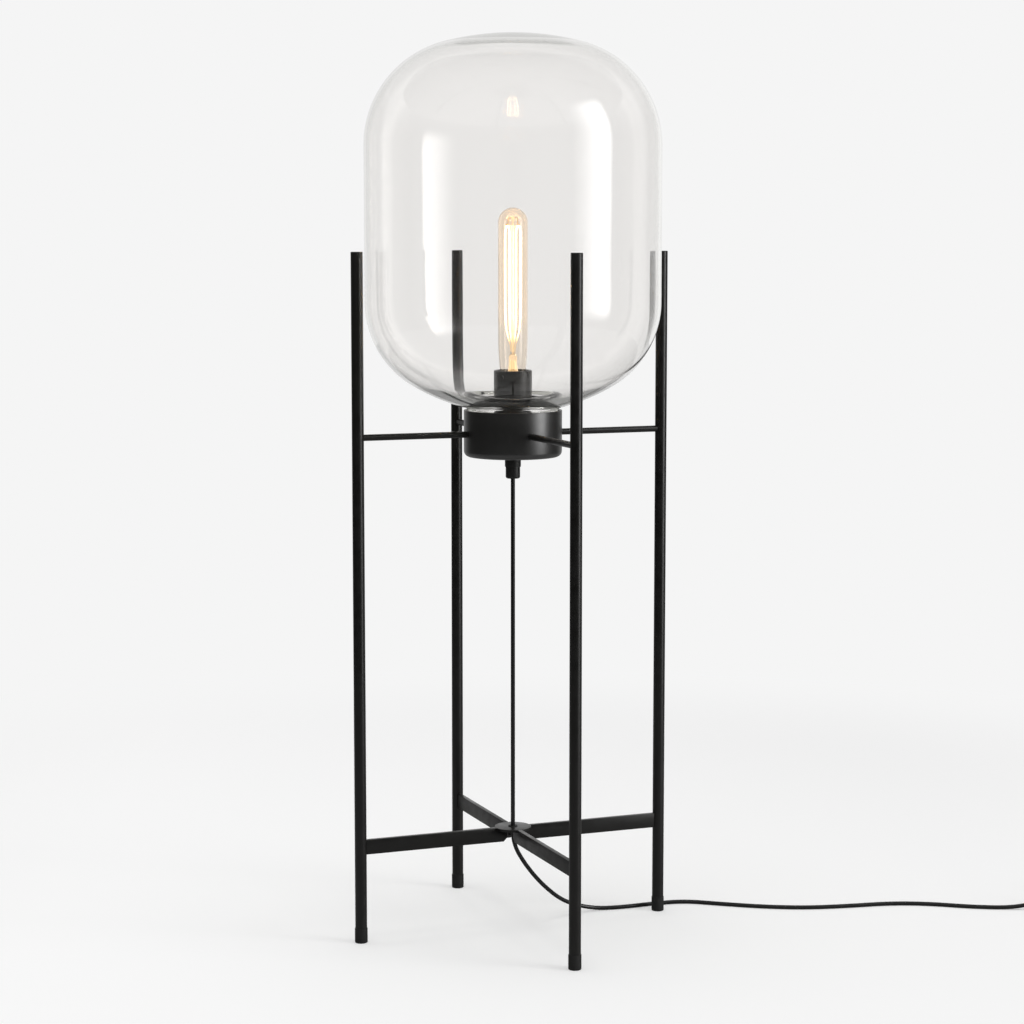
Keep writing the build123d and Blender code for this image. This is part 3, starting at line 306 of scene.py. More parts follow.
add_node(floor_paint, "ShaderNodeOutputMaterial", {"Surface": surface.outputs[0]})
disc = bmesh.new()
bmesh.ops.create_circle(disc, cap_ends=True, radius=floor_radius, segments=96)
to_object("floor", disc, floor_paint)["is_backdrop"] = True

# Each lamp is a soft panel: its place right of, beyond and above the floor lamp's foot as the camera sees
# it, the point it looks at, its width and height, its brightness, whether gloss shows it and how it fades
panels = {
    "tall_side_lamp": (*side_lamp, True, side_falloff),
    "ceiling_lamp": ((-0.15, -0.1, 4.0), (0, 0, 0), 2.0, 2.0, 5.2, False, []),
}
for name, (place, target, width, height, radiance, in_gloss, falloff) in panels.items():
    light = bpy.data.lights.new(name, "AREA")
    light.shape = "RECTANGLE"
    light.size = width
    light.size_y = height
    light.energy = radiance * math.pi * width * height
    light.use_nodes = True
    light.node_tree.nodes.clear()
    cloth = add_node(light, "ShaderNodeNewGeometry").outputs["Parametric"]
    spread = add_node(light, "ShaderNodeSeparateXYZ", {0: cloth}).outputs
    diffused = add_node(light, "ShaderNodeEmission", {"Strength": faded_panel(light, spread, falloff)})
    add_node(light, "ShaderNodeOutputLight", {"Surface": diffused.outputs[0]})
    panel = bpy.data.objects.new(name, light)
    toward = facing @ (Vector(target) - Vector(place))
    panel.matrix_world = facing @ Matrix.Translation(place)
    panel.rotation_euler = toward.to_track_quat("-Z", "Y").to_euler()
    panel.visible_camera = False
    panel.visible_transmission = False
    panel.visible_glossy = in_gloss
    bpy.context.scene.collection.objects.link(panel)

# Four legs of round steel bar, powder coated satin black, on slip-on rubber caps. The coat's fine
# orange-peel grain softens the lamp's reflection.
leg_circle = 0.1655
leg_radius = 0.006
leg_bottom = 0.002
leg_top = 0.698
foot_radius = 0.0065
foot_height = 0.015
sides = {"right": 0, "back": 90, "left": 180, "front": 270}


def grained(name, colour, roughness, grain, depth, spread=0.06, **sockets):
    """A finish with a fine grain, whose size and relief are in metres, and with two close colours."""
    material = new_material(name)
    spot = add_node(material, "ShaderNodeTexCoord").outputs["Object"]
    cells = add_node(material, "ShaderNodeTexNoise", {"Vector": spot, "Scale": 1 / grain, "Detail": 3.0})
    cloud = add_node(material, "ShaderNodeTexNoise", {"Vector": spot, "Scale": 0.1 / grain, "Detail": 2.0})
    relief = add_node(
        material, "ShaderNodeBump", {"Height": cells.outputs["Fac"], "Strength": 1.0, "Distance": depth}
    )
    shine = add_node(
        material,
        "ShaderNodeMapRange",
        {"Value": cloud.outputs["Fac"], "From Min": 0.3, "From Max": 0.7}
        | {"To Min": roughness - spread, "To Max": roughness + spread},
    )
    tint = add_node(
        material,
        "ShaderNodeMix",
        {"Factor": cloud.outputs["Fac"], 6: linear(colour[0]), 7: linear(colour[1])},
        data_type="RGBA",
    )
    principled = add_node(
        material,
        "ShaderNodeBsdfPrincipled",
        {"Base Color": tint.outputs[2], "Roughness": shine.outputs["Result"]}
        | {"Normal": relief.outputs["Normal"]}
        | sockets,
    )
    add_node(material, "ShaderNodeOutputMaterial", {"Surface": principled.outputs[0]})
    return material


def turned(corners, steps=96, closed=False):
    """A turned piece from its outline: each corner is (radius, height) or (radius, height, rounding)."""
    mesh = bmesh.new()
    points = [mesh.verts.new((corner[0], 0, corner[1])) for corner in corners]
    for start, end in zip(points, points[1:] + (points[:1] if closed else [])):
        mesh.edges.new((start, end))
    for point, corner in zip(points, corners):
        if len(corner) == 3:
            bmesh.ops.bevel(
                mesh, geom=[point], offset=corner[2], offset_type="OFFSET", segments=5, profile=0.5,
                affect="VERTICES", material=-1,
            )
    return spun(mesh, steps)


def spun(mesh, steps):
    """Spins an outline in the XZ plane a full turn round the lamp's axis."""
    bmesh.ops.spin(
        mesh, geom=mesh.verts[:] + mesh.edges[:], cent=(0, 0, 0), axis=(0, 0, 1), angle=2 * math.pi,
        steps=steps, use_merge=True, use_duplicate=False,
    )
    bmesh.ops.remove_doubles(mesh, verts=mesh.verts[:], dist=1e-6)
    bmesh.ops.recalc_face_normals(mesh, faces=mesh.faces[:])
    return mesh


def join(piece, body, slot, *nodes):
    """Fixes a piece to its body, in place of the nodes that it stands for."""
    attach(piece, body)
    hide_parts(*nodes)


# Powder coat, sprayed and baked: an orange peel about a millimetre across breaks up its long soft highlights
powder_coat = grained("satin black powder coat", ("#0e0d0b", "#12110f"), 0.34, 0.0011, 0.00002)
# Moulded rubber: dull black, with a grain drawn coarser than the mould's so that it shows
foot_rubber = grained("matt moulded rubber", ("#121211", "#191918"), 0.7, 0.0008, 0.00003)
for side, angle in sides.items():
    out = Matrix.Rotation(math.radians(angle), 4, "Z") @ Matrix.Translation((leg_circle, 0, 0))
    leg = turned([(0, leg_bottom), (leg_radius, leg_bottom), (leg_radius, leg_top, 0.0008), (0, leg_top)], 64)
    leg.transform(out)
    join(to_object(f"bar_leg_{side}", leg, powder_coat), "frame", "black_steel", f"leg_{side}")
    foot = turned(
        [(0, 0), (foot_radius, 0, 0.0012), (foot_radius, foot_height, 0.0003), (leg_radius, foot_height)]
        + [(leg_radius, leg_bottom), (0, leg_bottom)],
        64,
    )
    foot.transform(out)
    join(to_object(f"foot_cap_{side}", foot, foot_rubber), "frame", "foot_rubber", f"foot_{side}")

# Four thin round rods of steel hold the cup in the middle of the legs. Each is welded to its leg and to
# the cup's side, and wears the legs' coat.
rod_radius = 0.00325
rod_level = 0.514
cup_radius = 0.05
weld_at_cup = 0.0006
weld_at_leg = 0.0012
for side, angle in sides.items():
    rod = bmesh.new()
    bmesh.ops.create_circle(rod, radius=rod_radius, segments=40)
    bmesh.ops.rotate(rod, verts=rod.verts[:], matrix=Matrix.Rotation(math.pi / 2, 3, "Y"))
    bmesh.ops.translate(rod, verts=rod.verts[:], vec=(cup_radius - weld_at_cup, 0, rod_level))
    run = bmesh.ops.extrude_edge_only(rod, edges=rod.edges[:])
    end = [item for item in run["geom"] if isinstance(item, bmesh.types.BMVert)]
    reach = leg_circle - leg_radius - cup_radius + weld_at_cup + weld_at_leg
    bmesh.ops.translate(rod, verts=end, vec=(reach, 0, 0))
    bmesh.ops.holes_fill(rod, edges=rod.edges[:])
    bmesh.ops.recalc_face_normals(rod, faces=rod.faces[:])
    rod.transform(Matrix.Rotation(math.radians(angle), 4, "Z"))
    join(to_object(f"cup_rod_{side}", rod, powder_coat), "frame", "black_steel", f"rod_{side}")

# Lower cross of flat steel bars on edge, welded to the legs and coated with them, and a round plate let
# into their tops. The cord hangs through the plate's soft rubber grommet.
bar_low = 0.091
bar_top = 0.106
bar_inner = 0.007
bar_corner = 0.004
bar_thickness = 0.005
bar_edge = 0.0004
bar_weld = 0.001
plate_radius = 0.019
plate_low = 0.1035
for side, angle in sides.items():
    bar = bmesh.new()
    outline = [(bar_inner, plate_low), (plate_radius, plate_low), (plate_radius, bar_top)]
    outline += [(leg_circle - leg_radius + bar_weld, level) for level in (bar_top, bar_low)]
    outline += [(bar_inner + bar_corner, bar_low), (bar_inner, bar_low + bar_corner)]
    cut = bar.faces.new([bar.verts.new((along, -bar_thickness / 2, level)) for along, level in outline])
    run = bmesh.ops.extrude_face_region(bar, geom=[cut])
    far = [item for item in run["geom"] if isinstance(item, bmesh.types.BMVert)]
    bmesh.ops.translate(bar, verts=far, vec=(0, bar_thickness, 0))
    bmesh.ops.recalc_face_normals(bar, faces=bar.faces[:])
    bmesh.ops.bevel(
        bar, geom=bar.edges[:], offset=bar_edge, offset_type="OFFSET", segments=3, profile=0.5,
        affect="EDGES", material=-1,
    )
    bar.transform(Matrix.Rotation(math.radians(angle), 4, "Z"))
    join(to_object(f"flat_bar_{side}", bar, powder_coat), "frame", "black_steel", f"bar_{side}")

plate_bore = 0.00395
plate = turned(
    [(plate_bore, plate_low), (plate_radius, plate_low, 0.0003), (plate_radius, bar_top, 0.0003)]
    + [(plate_bore, bar_top)],
    96,
    closed=True,
)
join(to_object("round_plate", plate, powder_coat), "frame", "black_steel", "cross_plate")
grommet_bore = 0.00235
grommet_lip = 0.00475
lip_height = 0.0008
ring = turned(
    [(grommet_bore, plate_low - lip_height, 0.0003), (grommet_lip, plate_low - lip_height, 0.0003)]
    + [(grommet_lip, plate_low), (plate_bore, plate_low), (plate_bore, bar_top), (grommet_lip, bar_top)]
    + [(grommet_lip, bar_top + lip_height, 0.0004), (grommet_bore, bar_top + lip_height, 0.0004)],
    64,
    closed=True,
)
join(to_object("soft_grommet", ring, foot_rubber), "frame", "foot_rubber", "cord_grommet")

# Cup: turned from steel and lacquered satin black, and held by the four rods. The globe's neck stands in
# it on a soft ring of silicone.
cup_low = 0.49025
cup_top = 0.53775
cup_wall = 0.0025
cup_floor = cup_low + cup_wall
tube_radius = 0.005
# Lacquer sprayed over turned steel: the turning lines run round the cup and draw its highlight out upright.
# They are drawn about twice as coarse as the tool's 0.15 mm feed, so that they show.
turning_line = 0.00035
line_stretch = 6
lacquer = new_material("satin black lacquer on turned steel")
spot = add_node(lacquer, "ShaderNodeTexCoord").outputs["Object"]
stretched = add_node(
    lacquer, "ShaderNodeMapping", {"Vector": spot, "Scale": (line_stretch, line_stretch, 1 / turning_line)}
)
lines = add_node(lacquer, "ShaderNodeTexNoise", {"Vector": stretched.outputs[0], "Scale": 1.0, "Detail": 4.0})
relief = add_node(
    lacquer, "ShaderNodeBump", {"Height": lines.outputs["Fac"], "Strength": 1.0, "Distance": 0.000012}
)
shine = add_node(
    lacquer,
    "ShaderNodeMapRange",
    {"Value": lines.outputs["Fac"], "From Min": 0.3, "From Max": 0.7, "To Min": 0.3, "To Max": 0.4},
)
tint = add_node(
    lacquer,
    "ShaderNodeMix",
    {"Factor": lines.outputs["Fac"], 6: linear("#0a0907"), 7: linear("#0e0d0b")},
    data_type="RGBA",
)
principled = add_node(
    lacquer,
    "ShaderNodeBsdfPrincipled",
    {"Base Color": tint.outputs[2], "Roughness": shine.outputs["Result"]}
    | {"Normal": relief.outputs["Normal"], "Specular IOR Level": 0.9, "IOR": 1.65},
)
add_node(lacquer, "ShaderNodeOutputMaterial", {"Surface": principled.outputs[0]})
bowl = turned(
    [(tube_radius, cup_low), (cup_radius, cup_low, 0.006), (cup_radius, cup_top, 0.0006)]
    + [(cup_radius - cup_wall, cup_top, 0.0006), (cup_radius - cup_wall, cup_floor, 0.0035)]
    + [(tube_radius, cup_floor)],
    160,
    closed=True,
)
join(to_object("turned_cup", bowl, lacquer), "frame", "black_cup", "cup")


def finish_node(material, *nodes):
    """Gives carried-over nodes their material."""
    for node in nodes:
        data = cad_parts[node].data
        data.materials.clear()
        data.materials.append(material)


# Moulded silicone: matt dark grey-black that takes no highlight
silicone = grained("matt black silicone", ("#181818", "#202020"), 0.6, 0.001, 0.00002)
finish_node(silicone, "globe_seat")

# Threaded tube, washer and nut of zinc-plated steel hold the lampholder down in the cup, and a black
# gland on the same tube hangs below it and grips the cord with a small screw.
# Zinc plate on steel: a dull silver with a soft cloudy shine
zinc = grained("zinc-plated steel", ("#9d9c98", "#b4b3ae"), 0.32, 0.0009, 0.00001, Metallic=1.0)
finish_node(zinc, "threaded_tube", "tube_washer", "tube_nut", "gland_screw", "switch_screws")
# Moulded nylon: satin black, with the mould's grain drawn coarser so that it softens the highlight
nylon = grained("moulded black nylon", ("#131312", "#191918"), 0.42, 0.0009, 0.00002)
gland_low = 0.46775
gland_radius = 0.0074
collar_radius = 0.0082
collar_low = cup_low - 0.0105
gland_bore = 0.00235
gland = turned(
    [(gland_bore, gland_low, 0.0004), (gland_radius, gland_low, 0.002), (gland_radius, collar_low)]
    + [(collar_radius, collar_low, 0.0004), (collar_radius, cup_low), (gland_bore, cup_low)],
    96,
    closed=True,
)
join(to_object("gland_body", gland, nylon), "frame", "switch_plastic", "cord_gland")

# Lampholder: a cap and a skirt moulded of black phenolic with fine grooves, screwed together over the
# porcelain block, the brass screw shell and the contacts. It stands on the threaded tube in the cup.
holder_low = 0.51725
holder_radius = 0.0194
holder_joint = 0.55175
holder_top = 0.57725
groove_deep = 0.0005
groove_wide = 0.0008
groove_pitch = 0.0036
boss_radius = 0.008
boss_height = 0.006
cone_height = 0.014
cap_bore = 0.016
joint_radius = 0.0178
joint_gap = 0.0001
skirt_bore = 0.0164
skirt_low = 0.54225
block_low = 0.53325
# Phenolic, moulded and tumbled: a warm satin black with a sharp pale edge to its highlight
bakelite = grained("satin black phenolic", ("#171411", "#1d1a16"), 0.33, 0.0007, 0.000012)


def groove(level):
    """A groove in the lampholder's side whose upper edge is at that height."""
    deep = holder_radius - groove_deep
    low = level - groove_wide
    return [(holder_radius, low), (deep, low), (deep, level), (holder_radius, level)]


holder_cap = turned(
    [(tube_radius, holder_low), (boss_radius, holder_low, 0.0006)]
    + [(boss_radius, holder_low + boss_height, 0.0006), (holder_radius, holder_low + cone_height, 0.001)]
    + groove(holder_joint - 2 * groove_pitch)
    + groove(holder_joint - groove_pitch)
    + [(holder_radius, holder_joint, 0.0003), (joint_radius, holder_joint), (joint_radius, block_low)]
    + [(cap_bore, block_low), (cap_bore, holder_low + cone_height), (tube_radius, holder_low + boss_height)],
    128,
    closed=True,
)
join(to_object("holder_lower_cap", holder_cap, bakelite), "frame", "holder_phenolic", "lampholder_cap")
holder_skirt = turned(
    [(joint_radius - joint_gap, skirt_low), (joint_radius - joint_gap, holder_joint)]
    + [(holder_radius, holder_joint, 0.0003)]
    + groove(holder_joint + groove_pitch)
    + [(holder_radius, holder_top, 0.0012), (skirt_bore, holder_top, 0.0006), (skirt_bore, skirt_low)],
    128,
    closed=True,
)
join(to_object("holder_upper_skirt", holder_skirt, bakelite), "frame", "holder_phenolic", "lampholder_skirt")
# Glazed porcelain: warm white with a clear wet shine
porcelain = grained("glazed porcelain", ("#dcd8cf", "#e6e3db"), 0.16, 0.002, 0.00001, 0.03)
finish_node(porcelain, "contact_block")
# Pressed brass, left plain: yellow metal with a soft shine
brass = grained("plain brass", ("#b48f4e", "#c5a15c"), 0.28, 0.0012, 0.00001, Metallic=1.0)
finish_node(brass, "screw_shell", "centre_contact", "terminal_screws")
finish_node(brass, "bulb_contact", "contact_bridge", "switch_contacts")
# Extruded wire insulation: smooth warm brown
wire_cover = grained("brown wire insulation", ("#4a2b1c", "#583524"), 0.35, 0.001, 0.00001)
finish_node(wire_cover, "holder_wires", "switch_wires")

# Globe: soda-lime glass blown in one piece, thick at its crown, with a rim round its bore and a neck that
# stands loose in the cup on the soft ring.
globe_top = 0.91525
globe_radius = 0.15
globe_wall = 0.0035
crown_radius = 0.277
crown_inner = 0.8775
shoulder_radius = 0.106
base_apex = 0.53425
base_radius = 0.1975
lower_radius = 0.098
neck_foot = 0.49775
neck_radius = 0.046
neck_bore = 0.041
base_inner = 0.206
rim_level = 0.55
rim_radius = 0.046
rim_foot = 0.0495


def arc(mesh, start, centre, degrees, steps):
    """Carries an outline on from its last vertex along an arc round that centre."""
    swept = bmesh.ops.spin(
        mesh, geom=[start], cent=(centre[0], 0, centre[1]), axis=(0, 1, 0), angle=math.radians(degrees),
        steps=steps, use_duplicate=False,
    )
    return swept["geom_last"][0]


def carry(mesh, start, radius, height):
    """Carries an outline on from its last vertex along a straight line."""
    point = mesh.verts.new((radius, 0, height))
    mesh.edges.new((start, point))
    return point


def clear(name, colour, green, density, roughness, bend, ripple, depth, **sockets):
    """Clear glass: lamps shine through it, and its green or amber deepens with its thickness.

    A ray that is still trapped in the wall after its third mirroring passes straight out.
    """
    material = new_material(name)
    spot = add_node(material, "ShaderNodeTexCoord").outputs["Object"]
    waves = add_node(material, "ShaderNodeTexNoise", {"Vector": spot, "Scale": 1 / ripple, "Detail": 1.0})
    relief = add_node(
        material, "ShaderNodeBump", {"Height": waves.outputs["Fac"], "Strength": 1.0, "Distance": depth}
    )
    glass = add_node(
        material,
        "ShaderNodeBsdfPrincipled",
        {"Base Color": linear(colour), "Roughness": roughness, "IOR": bend, "Transmission Weight": 1.0}
        | {"Normal": relief.outputs["Normal"]}
        | sockets,
    )
    through = add_node(material, "ShaderNodeBsdfTransparent", {"Color": linear("#f6f6f4")})
    rays = add_node(material, "ShaderNodeLightPath").outputs
    soft_ray = add_node(
        material, "ShaderNodeMath", {0: rays["Is Shadow Ray"], 1: rays["Is Diffuse Ray"]}, operation="MAXIMUM"
    )
    trapped = add_node(
        material, "ShaderNodeMath", {0: rays["Glossy Depth"], 1: 2.5}, operation="GREATER_THAN"
    )
    passing = add_node(
        material, "ShaderNodeMath", {0: soft_ray.outputs[0], 1: trapped.outputs[0]}, operation="MAXIMUM"
    )
    surface = add_node(
        material,
        "ShaderNodeMixShader",
        {0: passing.outputs[0], 1: glass.outputs[0], 2: through.outputs[0]},
    )
    inside = add_node(material, "ShaderNodeVolumeAbsorption", {"Color": linear(green), "Density": density})
    add_node(
        material, "ShaderNodeOutputMaterial", {"Surface": surface.outputs[0], "Volume": inside.outputs[0]}
    )
    return material


# Blown glass: its slow waves bend what stands behind it, and a faint grey-green shows at its rims, where
# the eye looks along the wall
globe_glass = clear("clear blown glass", "#fffefd", "#a8ab98", 4.0, 0.0, 1.455, 0.05, 0.00018)
globe = bmesh.new()


def meeting(large, small, out):
    """How far a small arc's centre lies from a large one's, along the axis, and the angle where they meet."""
    along = math.sqrt((large - small) ** 2 - out**2)
    return along, math.degrees(math.atan2(out, along))


shoulder_out = globe_radius - shoulder_radius
lower_out = globe_radius - lower_radius
rise, crown_angle = meeting(crown_radius, shoulder_radius, shoulder_out)
drop, base_angle = meeting(base_radius, lower_radius, lower_out)
inner_rise, inner_crown_angle = meeting(crown_inner, shoulder_radius - globe_wall, shoulder_out)
shoulder_level = globe_top - crown_radius + rise
lower_level = base_apex + base_radius - drop
root_angle = math.degrees(math.asin(neck_radius / base_radius))
inner_drop, inner_base_angle = meeting(base_inner, lower_radius - globe_wall, lower_out)
rim_angle = math.degrees(math.asin(rim_foot / base_inner))
rim_foot_level = lower_level + inner_drop - base_inner * math.cos(math.radians(rim_angle))

point = globe.verts.new((0, 0, globe_top))
point = arc(globe, point, (0, shoulder_level - rise), crown_angle, 8)
point = arc(globe, point, (shoulder_out, shoulder_level), 90 - crown_angle, 36)
point = carry(globe, point, globe_radius, lower_level)
point = arc(globe, point, (lower_out, lower_level), 90 - base_angle, 30)
root = arc(globe, point, (0, lower_level + drop), base_angle - root_angle, 12)
foot_out = carry(globe, root, neck_radius, neck_foot)
foot_in = carry(globe, foot_out, neck_bore, neck_foot)
lip = carry(globe, foot_in, neck_bore, rim_level)
rim = carry(globe, lip, rim_radius, rim_level)
rim_out = carry(globe, rim, rim_foot, rim_foot_level)
point = arc(globe, rim_out, (0, lower_level + inner_drop), rim_angle - inner_base_angle, 12)
point = arc(globe, point, (lower_out, lower_level), inner_base_angle - 90, 36)
point = carry(globe, point, globe_radius - globe_wall, shoulder_level)
point = arc(globe, point, (shoulder_out, shoulder_level), inner_crown_angle - 90, 36)
arc(globe, point, (0, shoulder_level - inner_rise), -inner_crown_angle, 8)
roundings = ((root, 0.0025), (foot_out, 0.001), (foot_in, 0.001), (lip, 0.0015), (rim, 0.002), (rim_out, 0.002))
for corner, rounding in roundings:
    bmesh.ops.bevel(
        globe, geom=[corner], offset=rounding, offset_type="OFFSET", segments=5, profile=0.5,
        affect="VERTICES", material=-1,
    )
join(to_object("blown_globe", spun(globe, 192), globe_glass), "globe", "clear_glass", "glass_globe")

# Bulb: a long tube of thin drawn glass with a blown round end, cemented into a screw cap of plated brass
# with a black glass insulator. It screws into the lampholder.
bulb_radius = 0.015
bulb_wall = 0.0009
bulb_top = 0.74195
bulb_neck = 0.012
waist_radius = 0.0134
taper_top = 0.60175
waist_level = 0.57775
bulb_neck_top = 0.57175
bulb_neck_low = 0.56375
# Drawn glass: nearly clear across, and amber down its two sides, where its wall is seen edge on. From the
# filament's lower bends upward it carries a painted glow, a faint warm emission that stands in for the
# filament's light in the glass
bulb_glass = clear("thin clear bulb glass", "#fffdfa", "#e0b458", 130.0, 0.0, 1.46, 0.02, 0.00005)
spot = add_node(bulb_glass, "ShaderNodeTexCoord").outputs["Object"]
lit = add_node(bulb_glass, "ShaderNodeSeparateXYZ", {0: spot})
# Painted glow: warm emission on the glass that rises with height from the filament's lower bends and stands in
# for its light
painted_glow = add_node(
    bulb_glass,
    "ShaderNodeMapRange",
    {"Value": lit.outputs["Z"], "From Min": 0.612, "From Max": 0.635, "To Max": 0.03},
    interpolation_type="SMOOTHSTEP",
)
for node in bulb_glass.node_tree.nodes:
    if node.type == "BSDF_PRINCIPLED":
        node.inputs["Emission Color"].default_value = linear("#ffc878")
        bulb_glass.node_tree.links.new(painted_glow.outputs["Result"], node.inputs["Emission Strength"])
envelope = bmesh.new()
point = envelope.verts.new((0, 0, bulb_top))
point = arc(envelope, point, (0, bulb_top - bulb_radius), 90, 24)
shape = [(bulb_radius, taper_top, 0.012), (waist_radius, waist_level, 0.008)]
shape += [(bulb_neck, bulb_neck_top), (bulb_neck, bulb_neck_low)]
shape += [(bulb_neck - bulb_wall, bulb_neck_low), (bulb_neck - bulb_wall, bulb_neck_top)]
shape += [(waist_radius - bulb_wall, waist_level, 0.008), (bulb_radius - bulb_wall, taper_top, 0.012)]
roundings = []
for corner in shape + [(bulb_radius - bulb_wall, bulb_top - bulb_radius)]:
    point = carry(envelope, point, corner[0], corner[1])
    roundings += [(point, corner[2])] if len(corner) == 3 else []
arc(envelope, point, (0, bulb_top - bulb_radius), -90, 24)
for corner, rounding in roundings:
    bmesh.ops.bevel(
        envelope, geom=[corner], offset=rounding, offset_type="OFFSET", segments=5, profile=0.5,
        affect="VERTICES", material=-1,
    )
join(to_object("bulb_envelope", spun(envelope, 96), bulb_glass), "bulb", "bulb_glass", "bulb_glass")
# Brass sheet, pressed and plated: pale yellow metal, shinier than the plain brass
cap_brass = grained("plated brass sheet", ("#c2ab73", "#d0bb84"), 0.25, 0.0012, 0.00001, Metallic=1.0)
finish_node(cap_brass, "bulb_cap")
# Moulded black glass: deep black with a sharp shine
black_glass = grained("black moulded glass", ("#0c0c0c", "#121212"), 0.12, 0.001, 0.00001, 0.03)
finish_node(black_glass, "bulb_insulator")

# Stem of clear glass fused into the bulb's foot: a barrel with a pinched top and a thin rod up to the
# button that holds the upper hooks of molybdenum wire. The lead-ins are nickel wire.
# Painted glow: a faint warm emission on the stem and the hooks stands in for the filament's light falling on
# them
painted_filament_glow = {"Emission Color": linear("#ffdca6"), "Emission Strength": 0.22}
# Pressed glass, amber, with a painted glow: a faint warm emission stands in for the filament's light on it
stem_glass = clear("clear stem glass", "#fdf3e2", "#e8c48c", 30.0, 0.0, 1.46, 0.01, 0.00005, **painted_filament_glow)
stem = turned(
    [(0, 0.733, 0.0009), (0.0018, 0.733, 0.0009), (0.0018, 0.730), (0.0011, 0.730), (0.0011, 0.59375)]
    + [(0.003, 0.59375, 0.001), (0.0042, 0.59075, 0.001), (0.0042, 0.57875, 0.006), (0.0105, 0.56375)]
    + [(0.0095, 0.56375), (0.0032, 0.57875, 0.006), (0.0032, 0.58775), (0, 0.58775)],
    64,
)
join(to_object("bulb_inner_stem", stem, stem_glass), "bulb", "stem_glass", "bulb_stem")
# Drawn nickel: warm grey wire with a bright line along it
nickel = grained("nickel wire", ("#a8a49c", "#bab6ae"), 0.25, 0.001, 0.000005, Metallic=1.0)
finish_node(nickel, "lead_wires", "plug_pins")
# Molybdenum wire: golden, with a painted glow, a faint warm emission that stands in for the filament's light on
# it
hook_wire = grained(
    "molybdenum wire with painted glow", ("#c79a5e", "#dab074"), 0.3, 0.001, 0.000005, Metallic=1.0, **painted_filament_glow
)
finish_node(hook_wire, "filament_hooks")

# Filament: one carbon thread, baked from cellulose and hung in four hairpins over the hooks, with its ends
# clamped to the lead-ins. It is drawn thicker than the real thread, so that its glow shows.
thread_radius = 0.00055
halo_radius = 0.0019
# Glowing carbon: yellow-white and far brighter than the room, but dim where the strands gather at the stem
thread = new_material("glowing carbon thread")
spot = add_node(thread, "ShaderNodeTexCoord").outputs["Object"]
height = add_node(thread, "ShaderNodeSeparateXYZ", {0: spot}).outputs["Z"]
heat = add_node(
    thread,
    "ShaderNodeMapRange",
    {"Value": height, "From Min": 0.604, "From Max": 0.634, "To Min": 1.1, "To Max": 36.0},
    interpolation_type="SMOOTHSTEP",
)
hot = add_node(thread, "ShaderNodeMapRange", {"Value": height, "From Min": 0.6, "From Max": 0.63})
colour = add_node(
    thread, "ShaderNodeMix", {"Factor": hot.outputs["Result"], 6: linear("#ffd48a"), 7: linear("#ffd39a")},
    data_type="RGBA",
)
lit = add_node(thread, "ShaderNodeEmission", {"Color": colour.outputs[2], "Strength": heat.outputs["Result"]})
add_node(thread, "ShaderNodeOutputMaterial", {"Surface": lit.outputs[0]})
# The glow that the eye sees round each thread, as a thin shining sheath
halo = new_material("glow round the carbon thread")
clear_air = add_node(halo, "ShaderNodeBsdfTransparent", {"Color": (1, 1, 1, 1)})
shining = add_node(halo, "ShaderNodeEmission", {"Color": linear("#fff1d6"), "Strength": 1.25})
mixed = add_node(halo, "ShaderNodeMixShader", {0: 0.55, 1: clear_air.outputs[0], 2: shining.outputs[0]})
add_node(halo, "ShaderNodeOutputMaterial", {"Surface": mixed.outputs[0]})
filament_circle = 0.0083
filament_gather = 0.0022
filament_spread = 0.0058
filament_top = 0.7235
glow_top = 0.722


def laid(name, routes, radius, material):
    """Round wire or cord along smooth routes, each a list of points."""
    line = bpy.data.curves.new(name, "CURVE")
    line.dimensions = "3D"
    line.resolution_u = 10
    line.bevel_depth = radius
    line.bevel_resolution = 5
    line.use_fill_caps = True
    for route in routes:
        spline = line.splines.new("NURBS")
        spline.points.add(len(route) - 1)
        for point, place in zip(spline.points, route):
            point.co = (*place, 1)
        spline.order_u = 3
        spline.use_endpoint_u = True
    line.materials.append(material)
    made = bpy.data.objects.new(name, line)
    bpy.context.scene.collection.objects.link(made)
    return made


hairpins = []
halos = []
for hairpin in range(4):
    pin = []
    for angle, climb in ((90 * hairpin, 1), (90 * hairpin + 45, -1)):
        levels = [(filament_gather, 0.59625), (filament_gather, 0.60125), (filament_spread, 0.612)]
        levels += [(filament_circle, level) for level in (0.626, 0.66, 0.7, filament_top)]
        around = Matrix.Rotation(math.radians(angle), 3, "Z")
        pin += [around @ Vector((radius, 0, level)) for radius, level in levels[::climb]]
        upper = levels[2:-1] + [(filament_circle, glow_top)]
        halos.append([around @ Vector((radius, 0, level)) for radius, level in upper])
    hairpins.append(pin)
threads = laid("glowing_hairpins", hairpins, thread_radius, thread)
for spline in threads.data.splines:
    for place in (0, 1, 2, -3, -2, -1):
        spline.points[place].radius = 0.6
join(threads, "bulb", "filament_carbon", "filament")
glows = laid("glow_round_threads", halos, halo_radius, halo)
for spline in glows.data.splines:
    for point, share in zip(spline.points, (0.1, 0.6, 1, 1, 0.8)):
        point.radius = share
join(glows, "bulb", "filament_carbon", "filament")

# Foot switch, plug and coil tie, past the picture's edge: the switch's base and cover are moulded nylon,
# screwed together over a sprung contact bridge, and the plug is moulded onto the cord.
finish_node(nylon, "switch_base", "switch_cover", "switch_button", "cord_saddles", "coil_tie")
finish_node(foot_rubber, "switch_pads")
# Drawn spring steel: bright grey wire
spring_wire = grained("bright spring steel", ("#8f8f8f", "#a5a5a5"), 0.25, 0.001, 0.000005, Metallic=1.0)
finish_node(spring_wire, "switch_spring")
# Extruded PVC: glossy black, so that a thin bright line runs along the cord
pvc = grained("glossy black cord sheath", ("#0d0d0d", "#131313"), 0.24, 0.0012, 0.000012, 0.05)
finish_node(pvc, "plug_body", "plug_sleeve")

